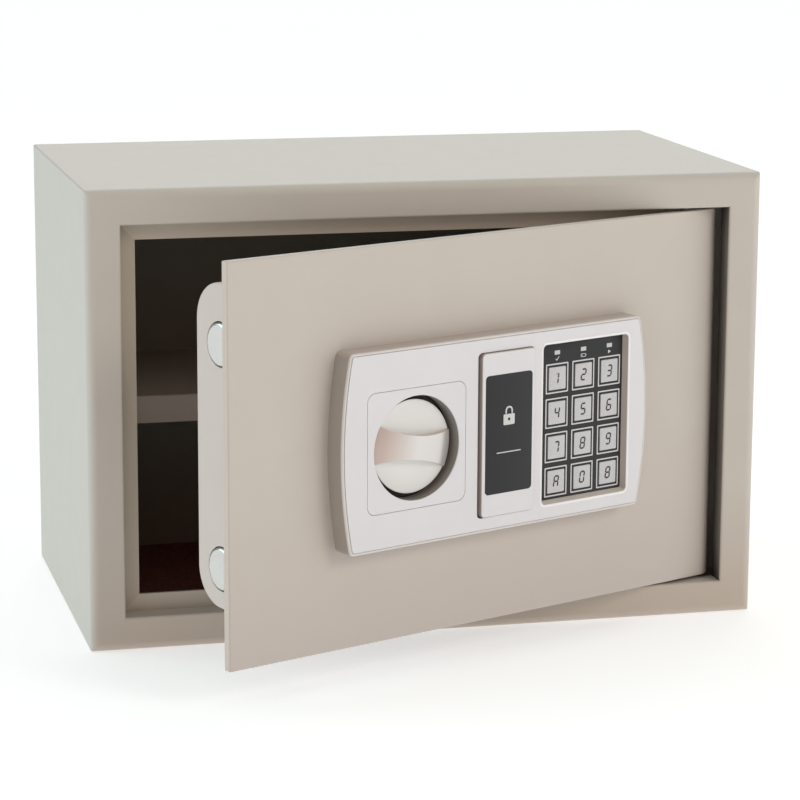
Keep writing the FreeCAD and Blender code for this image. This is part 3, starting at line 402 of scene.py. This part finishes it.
def finish_piece(name, bm, body, finishes, replaces, place=DOOR, crease=35, weighted=True):
    """Turns a bmesh into a piece that rides on a body. Its first finish is its material slot."""
    bmesh.ops.remove_doubles(bm, verts=bm.verts, dist=WELD)
    bmesh.ops.recalc_face_normals(bm, faces=bm.faces)
    mesh = bpy.data.meshes.new(name)
    bm.to_mesh(mesh)
    bm.free()
    mesh.shade_smooth()
    mesh.set_sharp_from_angle(angle=math.radians(crease))
    piece = bpy.data.objects.new(name, mesh)
    piece.matrix_world = place
    for finish in finishes:
        mesh.materials.append(FINISH[finish])
    bpy.context.scene.collection.objects.link(piece)
    if weighted:
        smooth = piece.modifiers.new("weighted", "WEIGHTED_NORMAL")
        smooth.keep_sharp = True
        smooth.weight = SMOOTH_WEIGHT
    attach(piece, body)
    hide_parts(*replaces)
    return piece


# Fascia: a panel inside a groove and a ledge, with a keypad window and holes for the knob and the cover

FASCIA = node_box("fascia")
PLATE = node_box("knob_escutcheon")
COVER = node_box("emergency_cover")
FILM = node_box("keypad_overlay")
PANEL, DOOR_FACE = FASCIA.front, FASCIA.rear
SKIN_REAR = PANEL + 4.0
BOW, FASCIA_CORNER, WALL = 4.4, 2.5, 2.0
LEDGE, LEDGE_FRONT, LEDGE_ROUND, LEDGE_STEPS = 1.1, PANEL + 0.22, 0.85, 6
GROOVE, GROOVE_FLOOR = 0.22, PANEL + 0.6
GROOVE_EDGE = ((0.12, 0.0), (0.04, 0.04), (0.0, 0.14))
PLATE_GAP, PLATE_HOLE_CORNER, PLATE_HOLE_EDGE = 0.15, 4.0, 0.12
COVER_GAP_WIDE, COVER_GAP_HIGH, COVER_HOLE_SHIFT, COVER_HOLE_EDGE = 0.75, 0.3, 0.5, 0.2
COVER_CORNER, COVER_EDGE = 2.0, 0.3
FILM_GAP, SLOPE_LIFT, WINDOW_SLOPE, WINDOW_CORNER = 0.15, 0.4, 1.2, 2.0
WINDOW_LIP = ((-1.2, 0.0), (-1.05, -0.12), (-0.85, -0.2), (-0.45, -0.2), (-0.2, -0.1), (-0.05, 0.1))
SLOPE_TOP, SLOPE_FOOT, SLOPE_REAR = 0.35, 0.12, 0.04
FACE_PART, WALL_PART, RIDGE_PART, BEZEL_PART, LIP_PART = range(5)


def bowed(across, up, half_width, half_height, bow, corner, steps=6, end_steps=24):
    """Outline with straight long edges and ends that bow out."""
    sweep_radius = (half_height ** 2 + bow ** 2) / (2 * bow)
    centre = half_width + bow - sweep_radius

    def ring(inset):
        top = half_height - inset
        reach = sweep_radius - inset
        radius = max(corner - inset, LEAST_CORNER)
        tilt = math.asin((top - radius) / (reach - radius))
        corner_x = centre + (reach - radius) * math.cos(tilt)
        side = arc(centre, 0, reach, [tilt * (2 * i / end_steps - 1) for i in range(end_steps + 1)])
        turn = arc(corner_x, top - radius, radius, sweep(tilt, QUARTER, steps)[1:])
        right = [(x, -z) for x, z in reversed(turn)] + side + turn
        left = [(-x, -z) for x, z in right]
        return [(across + x, up + z) for x, z in right + left]
    return ring


def window(inset):
    """Keypad window: its sloping rim reaches in less at the top than at the sides and the bottom."""
    lift = SLOPE_LIFT * max(inset, 0.0)
    return rounded_box(FILM.across, FILM.up + lift, FILM.half_wide + FILM_GAP,
                       FILM.half_high + FILM_GAP + lift, WINDOW_CORNER)(inset)


def hole_profile(edge):
    return [*opened(round_over(edge, PANEL, RIM_STEPS)), (0, SKIN_REAR)]


fascia_profile = [
    *[(LEDGE + GROOVE + inset, PANEL + deep, FACE_PART) for inset, deep in GROOVE_EDGE],
    (LEDGE + GROOVE, GROOVE_FLOOR, FACE_PART), (LEDGE, GROOVE_FLOOR, RIDGE_PART),
    (LEDGE, LEDGE_FRONT, RIDGE_PART),
    *[(inset, depth, RIDGE_PART) for inset, depth in round_over(LEDGE_ROUND, LEDGE_FRONT, LEDGE_STEPS)],
    (0.0, DOOR_FACE, WALL_PART), (WALL, DOOR_FACE, WALL_PART), (WALL, SKIN_REAR, WALL_PART)]
window_profile = [
    *[(inset, PANEL + deep, LIP_PART) for inset, deep in WINDOW_LIP],
    (0.0, PANEL + SLOPE_TOP, BEZEL_PART), (WINDOW_SLOPE, FILM.front - SLOPE_FOOT, BEZEL_PART),
    (WINDOW_SLOPE, FILM.front - SLOPE_REAR, BEZEL_PART), (0.0, FILM.front - SLOPE_REAR, BEZEL_PART),
    (0.0, SKIN_REAR, BEZEL_PART)]
plate_hole = PLATE.outline(PLATE_HOLE_CORNER, PLATE_GAP)
cover_hole = rounded_box(COVER.across - COVER_HOLE_SHIFT, COVER.up, COVER.half_wide + COVER_GAP_WIDE,
                         COVER.half_high + COVER_GAP_HIGH, COVER_CORNER)
bm = bmesh.new()
add_solid(bm, bowed(FASCIA.across, FASCIA.up, FASCIA.half_wide - BOW, FASCIA.half_high, BOW, FASCIA_CORNER),
          fascia_profile,
          [(plate_hole, hole_profile(PLATE_HOLE_EDGE)), (cover_hole, hole_profile(COVER_HOLE_EDGE)),
           (window, window_profile)], face=FACE_PART, side=FACE_PART, back=WALL_PART)
finish_piece("fascia_shell", bm, "door", ["fascia_plastic", "fascia_wall", "ridge_painted_light", "bezel_painted_shade", "lip_painted_highlight"],
             ["fascia"])

# Knob and its escutcheon, which is a square plate with a round well

PLATE_CORNER, PLATE_EDGE, WELL_EDGE = 3.9, 0.15, 0.35
WELL_RADIUS, WELL_FLOOR, SPINDLE_HOLE, WELL_THICK = 22.0, DOOR_FACE - 1.5, 4.3, 1.5
WELL_WALL_PART, WELL_FLOOR_PART = 1, 2
WELL_FILLET = ((0.0, 1.0, WELL_WALL_PART), (0.3, 0.3, WELL_FLOOR_PART), (1.0, 0.0, WELL_FLOOR_PART))
bm = bmesh.new()
well_profile = [
    *opened(round_over(WELL_EDGE, PLATE.front, RIM_STEPS)),
    *[(inset, WELL_FLOOR - above, part) for inset, above, part in WELL_FILLET],
    (WELL_RADIUS - SPINDLE_HOLE, WELL_FLOOR, WELL_FLOOR_PART),
    (WELL_RADIUS - SPINDLE_HOLE, DOOR_FACE, WELL_WALL_PART),
    (-WELL_THICK, DOOR_FACE, WELL_WALL_PART), (-WELL_THICK, SKIN_REAR, WELL_WALL_PART)]
add_solid(bm, PLATE.outline(PLATE_CORNER), [*round_over(PLATE_EDGE, PLATE.front, SLAB_STEPS), (0, SKIN_REAR)],
          [(disc(PLATE.across, PLATE.up, WELL_RADIUS), well_profile)], back=WELL_WALL_PART)
finish_piece("knob_plate", bm, "door", ["fascia_plastic", "well_wall", "hollow_painted_shade"], ["knob_escutcheon"])

KNOB = node_box("knob")
DISC_RADIUS = KNOB.half_high
CREST, KNOB_REAR = KNOB.front, KNOB.rear
DISC_FACE = PANEL + 4.1
DISC_EDGE, DISC_THICK, HUB_RADIUS = 0.3, 1.6, 15.0
GRIP_WAIST, GRIP_END = 5.1, 8.0
GRIP_SECTIONS, GRIP_REACH, GRIP_ROOT = 64, 0.9985, DISC_FACE + 0.6
GRIP_EDGE, EDGE_OF_HALF, EDGE_OF_RISE, LEAST_EDGE = 0.22, 0.6, 0.8, 0.05
GRIP_CROWN, CROWN_STEPS = 0.12, 6
KNOB_LEAN = math.radians(-8.8)
# The disc's back and hub take the near-black painted shade, so the disc's rim looks thin.
GRIP_PART, DISC_PART = 1, 2
grip_end_across = math.sqrt(DISC_RADIUS ** 2 - GRIP_END ** 2)
waist_sweep = (grip_end_across ** 2 + (GRIP_END - GRIP_WAIST) ** 2) / (2 * (GRIP_END - GRIP_WAIST))
crest_sweep = (DISC_RADIUS ** 2 + (DISC_FACE - CREST) ** 2) / (2 * (DISC_FACE - CREST))


def grip_half_width(x):
    waist = GRIP_WAIST + waist_sweep - math.sqrt(waist_sweep ** 2 - x ** 2)
    return min(waist, math.sqrt(max(DISC_RADIUS ** 2 - x ** 2, 0.0)))


def grip_top(x):
    return CREST + crest_sweep - math.sqrt(crest_sweep ** 2 - x ** 2)


def grip_section(x):
    """The grip's closed section at x, as points (up, depth): side wall, rounded edge and crowned top."""
    half, top = grip_half_width(x), grip_top(x)
    edge = min(GRIP_EDGE, half * EDGE_OF_HALF, max((DISC_FACE - top) * EDGE_OF_RISE, LEAST_EDGE))
    flat = half - edge
    section = [(half, GRIP_ROOT), (half, top + edge)]
    section += [(half - edge + edge * math.cos(a), top + edge - edge * math.sin(a))
                for a in sweep(0, QUARTER, EDGE_STEPS)[1:]]
    section += [(flat * (1 - i / CROWN_STEPS),
                 top - GRIP_CROWN * (1 - (1 - i / CROWN_STEPS) ** 2) * edge / GRIP_EDGE)
                for i in range(1, CROWN_STEPS + 1)]
    return section + [(-z, y) for z, y in reversed(section[:-1])]


bm = bmesh.new()
disc_back = DISC_FACE + DISC_THICK
add_solid(bm, disc(0, 0, DISC_RADIUS),
          [*round_over(DISC_EDGE, DISC_FACE, RIM_STEPS), (0, disc_back, DISC_PART),
           (DISC_RADIUS - HUB_RADIUS, disc_back, DISC_PART),
           (DISC_RADIUS - HUB_RADIUS, KNOB_REAR, DISC_PART)], back=DISC_PART)
stations = [DISC_RADIUS * GRIP_REACH * math.sin(math.pi * (i / GRIP_SECTIONS - 0.5))
            for i in range(GRIP_SECTIONS + 1)]
rings = [[bm.verts.new((x * MM, y * MM, z * MM)) for z, y in grip_section(x)] for x in stations]
for near, far in zip(rings, rings[1:]):
    bridge(bm, near, far, GRIP_PART)
for ring in (rings[0], rings[-1]):
    bm.faces.new(ring).material_index = GRIP_PART
knob_place = (DOOR @ Matrix.Translation((PLATE.across * MM, 0, PLATE.up * MM))
              @ Matrix.Rotation(-KNOB_LEAN, 4, "Y"))
finish_piece("turn_knob", bm, "knob", ["knob_satin", "grip_satin", "hollow_painted_shade"], ["knob"],
             knob_place, crease=40)

# Emergency lock cover, and its label with a padlock and a rule

COVER_SIDE_PART = 1
bm = bmesh.new()
add_solid(bm, COVER.outline(COVER_CORNER),
          [*round_over(COVER_EDGE, COVER.front, RIM_STEPS), (0, COVER.rear)], side=COVER_SIDE_PART)
finish_piece("lock_cover", bm, "emergency_cover", ["fascia_plastic", "bezel_painted_shade"], ["emergency_cover"])

PRINT, PRINT_SUNK = 0.04, 1.6
PRINTED = 1


def print_shape(bm, face, outline, holes=()):
    """A thin shape in the print's material, which stands proud of a face and reaches a little into it."""
    top = face - PRINT
    ends = [(0, top), (0, top + PRINT * PRINT_SUNK)]
    add_solid(bm, outline, ends, [(hole, ends) for hole in holes], face=PRINTED)


LABEL = node_box("cover_label")
LABEL_CORNER, LABEL_EDGE, LABEL_LIFT = 1.8, 0.06, 0.01
PADLOCK_UP, BODY_DROP, KEYHOLE_DROP, KEYHOLE_RADIUS = LABEL.up + 7.5, 1.6, 1.5, 0.65
SHACKLE_OUT, SHACKLE_IN, SHACKLE_UP, SHACKLE_FOOT, PADLOCK_STEPS = 2.0, 1.25, 2.1, 0.95, 24
RULE_DROP = 8.0
# Half width, half height and corner.
PADLOCK_BODY, RULE = (3.0, 2.3, 0.5), (6.5, 0.22, 0.2)


def shackle(steps=PADLOCK_STEPS):
    outer, inner = (arc(LABEL.across, PADLOCK_UP + SHACKLE_UP, radius, sweep(0, math.pi, steps))
                    for radius in (SHACKLE_OUT, SHACKLE_IN))
    foot = PADLOCK_UP + SHACKLE_FOOT
    return [(LABEL.across + SHACKLE_OUT, foot), *outer, (LABEL.across - SHACKLE_OUT, foot),
            (LABEL.across - SHACKLE_IN, foot), *reversed(inner), (LABEL.across + SHACKLE_IN, foot)]


bm = bmesh.new()
slab(bm, LABEL.outline(LABEL_CORNER), LABEL.front, COVER.front + LABEL_LIFT, LABEL_EDGE)
print_shape(bm, LABEL.front, rounded_box(LABEL.across, PADLOCK_UP - BODY_DROP, *PADLOCK_BODY),
            [disc(LABEL.across, PADLOCK_UP - KEYHOLE_DROP, KEYHOLE_RADIUS, PADLOCK_STEPS)])
print_shape(bm, LABEL.front, polygon(shackle()))
print_shape(bm, LABEL.front, rounded_box(LABEL.across, LABEL.up - RULE_DROP, *RULE))
finish_piece("lock_cover_label", bm, "emergency_cover", ["overlay_dark", "print_silver"], ["cover_label"],
             weighted=False)

# Keypad film: holes for the keys and the lamps, a printed frame round each key, and three pictograms

KEYS = {name: node_box("key_" + name) for name in "1 2 3 4 5 6 7 8 9 a 0 b".split()}
LAMPS = node_box("status_lamps")
COLUMNS = sorted({round(key.across, 3) for key in KEYS.values()})
KEY_GAP, KEY_HOLE_CORNER, KEY_STEPS, ICON_STEPS = 0.12, 0.5, 4, 3
FRAME_OUT, FRAME_LINE, FRAME_CORNER, FRAME_INNER_CORNER = 1.55, 0.57, 0.35, 0.1
FILM_CORNER, FILM_EDGE, FILM_STEPS = 1.9, 0.1, 2
LAMP_GAP, LAMP_CORNER, LENS_GAP, LENS_PROUD, LENS_EDGE = 0.25, 0.15, 0.03, 0.05, 0.15
ICON_UP = LAMPS.up - 2.75
TICK = ((-1.0, -0.1), (-0.35, -0.8), (1.1, 0.75), (0.85, 1.0), (-0.35, -0.3), (-0.75, 0.15))
ARROW = ((-0.7, -0.8), (0.8, 0.0), (-0.7, 0.8))
# Each part of the battery: shift across, half width, half height, corner.
BATTERY_CASE, BATTERY_HOLLOW = (-0.15, 1.35, 0.75, 0.15), (-0.15, 1.13, 0.53, 0.05)
BATTERY_CHARGE, BATTERY_POLE = (-0.85, 0.2, 0.33, 0.05), (1.4, 0.13, 0.32, 0.05)


def pictogram(column, points):
    return polygon([(column + x, ICON_UP + z) for x, z in points])


def battery_part(column, shift, half_width, half_height, corner):
    return rounded_box(column + shift, ICON_UP, half_width, half_height, corner, ICON_STEPS)


lamp_outlines = [rounded_box(x, LAMPS.up, COLUMNS[0] - LAMPS.low[0] + LAMP_GAP, LAMPS.half_high + LAMP_GAP,
                             LAMP_CORNER, ICON_STEPS) for x in COLUMNS]
straight = [(0, FILM.front), (0, FILM.rear)]
bm = bmesh.new()
add_solid(bm, FILM.outline(FILM_CORNER), [*round_over(FILM_EDGE, FILM.front, FILM_STEPS), (0, FILM.rear)],
          [(key.outline(KEY_HOLE_CORNER, KEY_GAP, KEY_STEPS), straight) for key in KEYS.values()]
          + [(shape, straight) for shape in lamp_outlines])
for key in KEYS.values():
    print_shape(bm, FILM.front, key.outline(FRAME_CORNER, FRAME_OUT, KEY_STEPS),
                [key.outline(FRAME_INNER_CORNER, FRAME_OUT - FRAME_LINE, KEY_STEPS)])
left, centre, right = COLUMNS
print_shape(bm, FILM.front, pictogram(left, TICK))
print_shape(bm, FILM.front, battery_part(centre, *BATTERY_CASE), [battery_part(centre, *BATTERY_HOLLOW)])
print_shape(bm, FILM.front, battery_part(centre, *BATTERY_CHARGE))
print_shape(bm, FILM.front, battery_part(centre, *BATTERY_POLE))
print_shape(bm, FILM.front, pictogram(right, ARROW))
finish_piece("keypad_film", bm, "door", ["overlay_dark", "print_silver"], ["keypad_overlay"],
             weighted=False)

bm = bmesh.new()
for shape in lamp_outlines:
    slab(bm, shrunk(shape, LENS_GAP), FILM.front - LENS_PROUD, FILM.rear, LENS_EDGE)
finish_piece("lamp_windows", bm, "door", ["lamp_lens"], ["status_lamps"])

# Keycaps with seven-segment characters; segment i is the flag on the 1

SEGMENTS = {"0": "abcdef", "1": "bci", "2": "abged", "3": "abgcd", "4": "fgbc", "5": "afgcd", "6": "afgedc",
            "7": "abc", "8": "abcdefg", "9": "abcdfg", "a": "abcefg", "b": "abcdefg"}
DIGIT_WIDE, DIGIT_HIGH, STROKE, SLANT, SEGMENT_GAP = 2.95, 5.3, 0.72, 0.14, 0.05
ONE_SHIFT = -DIGIT_WIDE * 0.22
FLAG_REACH, FLAG_INSET, FLAG_FOOT, FLAG_STEP, FLAG_TOP = 1.0, 0.12, 0.75, 0.35, 0.2
CAP_CORNER, CAP_EDGE = 0.4, 0.12


def segment(letter):
    """Six-cornered bar of a seven-segment digit, about the digit's middle, before the slant."""
    w, h, t, gap = DIGIT_WIDE / 2 - STROKE / 2, DIGIT_HIGH / 2 - STROKE / 2, STROKE / 2, SEGMENT_GAP
    level = {"a": h, "g": 0.0, "d": -h}
    if letter in level:
        z = level[letter]
        a, b = -w + gap, w - gap
        return [(a, z), (a + t, z - t), (b - t, z - t), (b, z), (b - t, z + t), (a + t, z + t)]
    if letter == "i":
        return [(w - t - FLAG_REACH, h - FLAG_FOOT), (w - t - FLAG_INSET, h - FLAG_STEP),
                (w - t - FLAG_INSET, h + FLAG_TOP)]
    x = w if letter in "bc" else -w
    low, high = (gap, h - gap) if letter in "bf" else (-h + gap, -gap)
    return [(x, low), (x + t, low + t), (x + t, high - t), (x, high), (x - t, high - t), (x - t, low + t)]


for name, key in KEYS.items():
    bm = bmesh.new()
    slab(bm, key.outline(CAP_CORNER, steps=KEY_STEPS), key.front, key.rear, CAP_EDGE)
    shift = ONE_SHIFT if name == "1" else 0.0
    for letter in SEGMENTS[name]:
        bar = [(key.across + shift + x + SLANT * z, key.up + z) for x, z in segment(letter)]
        print_shape(bm, key.front, polygon(bar))
    finish_piece("keycap_" + name, bm, "key_" + name, ["key_grey", "print_dark"], ["key_" + name],
                 weighted=False)

# Locking bolts: each nose is (distance in from the side, distance from the end)

BOLT_NOSE = ((1.3, 0.0), (0.8, 0.1), (0.35, 0.38), (0.1, 0.75), (0.0, 1.2))
BOLT_TAIL, BOLT_STEPS = 0.5, 64


def turned(bm, spot, profile):
    """A turned part along X from a spot; profile is (radius, distance along it) from end to end."""
    rotation = Vector((1, 0, 0)).to_track_quat("Z", "Y").to_matrix()
    around = [math.tau * i / BOLT_STEPS for i in range(BOLT_STEPS)]
    rings = []
    for radius, along in profile:
        points = arc(0, 0, radius, around) if radius else [(0, 0)]
        rings.append([bm.verts.new((Vector(spot) + rotation @ Vector((x, y, along))) * MM)
                      for x, y in points])
    for near, far in zip(rings, rings[1:]):
        bridge(bm, near, far)


for node in ("bolt_lower", "bolt_upper"):
    bolt = node_box(node)
    radius, length = bolt.half_high, bolt.high[0] - bolt.low[0]
    bm = bmesh.new()
    turned(bm, (bolt.low[0], bolt.deep, bolt.up),
           [(0, 0), *[(radius - inset, along) for inset, along in BOLT_NOSE],
            (radius, length - BOLT_TAIL), (radius - BOLT_TAIL, length), (0, length)])
    finish_piece(node + "_bar", bm, "bolt_work", ["bolt_steel"], [node])

# Housing screws: four domed heads, each with a cross recess down to a base coloured near-black as painted
# shade

SCREW_TURNS = (0.3, 0.9, 0.1, 1.2)
DOME_RIM, DOME_FROM, DOME_STEPS = 0.3, 0.45, 8
RECESS_ARM, RECESS_HALF, RECESS_FLOOR, BASE_TOP, BASE_INSET = 0.5, 0.13, 0.16, 0.15, 0.05
BASE_PART = 1


def cross(across, up, arm, half_width, turn):
    """Outline of a cross recess."""
    corners = [(half_width, arm), (-half_width, arm), (-half_width, half_width)]
    points = []
    for quarter in range(4):
        angle = turn + QUARTER * quarter
        points += [(across + x * math.cos(angle) - z * math.sin(angle),
                    up + x * math.sin(angle) + z * math.cos(angle)) for x, z in corners]
    return polygon(points)


screw_points = node_points("housing_screws")
screws = Box(screw_points)
seat, crest = screws.front, screws.rear
bm = bmesh.new()
for turn, (side, level) in zip(SCREW_TURNS, CORNERS):
    head = Box(screw_points[((screw_points[:, 0] - screws.across) * side > 0)
                            & ((screw_points[:, 2] - screws.up) * level > 0)])
    radius = head.half_wide
    dome = [(radius * (1 - math.sin(a)), crest - (crest - seat - DOME_RIM) * (1 - math.cos(a)))
            for a in (QUARTER * (DOME_FROM + (1 - DOME_FROM) * i / DOME_STEPS)
                      for i in range(DOME_STEPS + 1))]
    recess = cross(head.across, head.up, radius * RECESS_ARM, radius * RECESS_HALF, turn)
    floor_level = seat + RECESS_FLOOR
    add_solid(bm, disc(head.across, head.up, radius, HOLE_STEPS), [*dome, (0, floor_level)],
              [(recess, [(0, dome[0][1]), (0, floor_level)])])
    add_solid(bm, disc(head.across, head.up, radius - BASE_INSET, HOLE_STEPS),
              [(0, seat + BASE_TOP), (0, seat)], face=BASE_PART, side=0)
finish_piece("housing_screw_heads", bm, "door", ["zinc_steel", "hollow_painted_shade"], ["housing_screws"])

# Floor carpet: needle felt, with a hole over each anchor hole

carpet_points = node_points("floor_carpet", Matrix.Identity(4))
carpet = Box(carpet_points)
felt_top = carpet.high[2]
FELT_CORNER, FELT_EDGE = 2.0, 0.6
HOLE_ZONE = 100
HOLE_EDGE = ((-0.4, 0.0), (-0.1, 0.15), (0.0, 0.4))
rear_right_hole = Box(carpet_points[(np.abs(carpet_points[:, 0] - carpet.across) < HOLE_ZONE)
                                    & (carpet_points[:, 0] > carpet.across)
                                    & (carpet_points[:, 1] > carpet.deep)])
hole_x, hole_y = rear_right_hole.across, rear_right_hole.deep
anchor_profile = [*[(inset, felt_top - deep) for inset, deep in HOLE_EDGE], (0, carpet.low[2])]
bm = bmesh.new()
add_solid(bm, rounded_box(carpet.across, carpet.deep, carpet.half_wide, carpet.half_deep, FELT_CORNER),
          [*[(inset, felt_top - deep) for inset, deep in round_over(FELT_EDGE, 0.0)], (0, carpet.low[2])],
          [(disc(x, y, rear_right_hole.half_wide, HOLE_STEPS), anchor_profile)
           for x in (hole_x, 2 * carpet.across - hole_x) for y in (hole_y, -hole_y)])
for vert in bm.verts:
    vert.co = (vert.co.x, vert.co.z, vert.co.y)
felt_piece = finish_piece("felt_carpet", bm, "cabinet", ["carpet_red"], ["floor_carpet"],
                          Matrix.Identity(4))


# Floor, world, light and camera

FLOOR_HALF, FLOOR_GLOW = 12.0, 0.5
WHITE = (1, 1, 1, 1)
floor_mesh = bpy.data.meshes.new("floor")
floor_mesh.from_pydata([(x * FLOOR_HALF, y * FLOOR_HALF, 0) for x, y in CORNERS], [], [(0, 1, 2, 3)])
floor = bpy.data.objects.new("floor", floor_mesh)
pale = shader("floor_pale", (0.7, 0.7, 0.7), 0.9, tint=0.005, tint_scale=2, specular=0.0)
glow = pale.node_tree.nodes["Principled BSDF"]
glow.inputs["Emission Color"].default_value = WHITE
glow.inputs["Emission Strength"].default_value = FLOOR_GLOW
floor.data.materials.append(pale)
bpy.context.scene.collection.objects.link(floor)

# The world lights the safe at one strength, and a camera ray sees it at another.
WORLD_LIGHT, WORLD_SEEN = 0.25, 1.0
world = bpy.data.worlds.new("studio")
world.use_nodes = True
world_nodes, world_links = world.node_tree.nodes, world.node_tree.links
light_path = world_nodes.new("ShaderNodeLightPath")
strength = world_nodes.new("ShaderNodeMapRange")
strength.inputs["To Min"].default_value = WORLD_LIGHT
strength.inputs["To Max"].default_value = WORLD_SEEN
world_links.new(light_path.outputs["Is Camera Ray"], strength.inputs["Value"])
world_links.new(strength.outputs["Result"], world_nodes["Background"].inputs["Strength"])
world_nodes["Background"].inputs["Color"].default_value = WHITE
bpy.context.scene.world = world
bpy.context.scene.view_settings.view_transform = "Standard"

LIGHT_AIM = Vector((0, 0, 0.1))


def studio_light(name, kind, place, energy, colour, spread):
    """A soft lamp at a place, aimed at the safe. spread is an area lamp's width in metres, or a sun's
    angle in degrees."""
    light = bpy.data.lights.new(name, kind)
    light.energy = energy
    light.color = colour
    if kind == "AREA":
        light.shape = "DISK"
        light.size = spread
    else:
        light.angle = math.radians(spread)
    lamp = bpy.data.objects.new(name, light)
    lamp.location = place
    lamp.rotation_euler = (LIGHT_AIM - Vector(place)).to_track_quat("-Z", "Y").to_euler()
    bpy.context.scene.collection.objects.link(lamp)


studio_light("overhead", "SUN", (-0.15, 0.1, 2.0), 0.73, (0.9, 1.0, 0.93), 60)
studio_light("left_window", "SUN", (-1.9, 0.55, 0.8), 1.22, (0.69, 0.93, 1.0), 40)
studio_light("right_front", "AREA", (1.6, -1.85, 1.5), 15.6, (1.0, 0.98, 0.87), 1.1)
studio_light("front_warm", "AREA", (-0.35, -2.25, 0.9), 2.5, (1.0, 0.35, 0.18), 1.1)
studio_light("right_fill", "SUN", (2.0, -0.7, 0.6), 0.5, (1.0, 1.0, 1.0), 40)
studio_light("back_fill", "SUN", (0.7, 2.0, 1.0), 0.8, (1.0, 1.0, 1.0), 50)

CAMERA_PLACE = (-0.3194, -1.3073, 0.3646)
CAMERA_YAW, CAMERA_PITCH, CAMERA_ROLL = 14.026, 11.635, 0.27
FOCAL_LENGTH, SENSOR_WIDTH = 133.55, 36.0
lens = bpy.data.cameras.new("photo_angle")
lens.lens = FOCAL_LENGTH
lens.sensor_width = SENSOR_WIDTH
camera = bpy.data.objects.new("photo_angle", lens)
camera.matrix_world = (Matrix.Translation(CAMERA_PLACE) @ Matrix.Rotation(math.radians(-CAMERA_YAW), 4, "Z")
                       @ Matrix.Rotation(math.radians(90 - CAMERA_PITCH), 4, "X")
                       @ Matrix.Rotation(math.radians(CAMERA_ROLL), 4, "Z"))
bpy.context.scene.collection.objects.link(camera)
bpy.context.scene.camera = camera
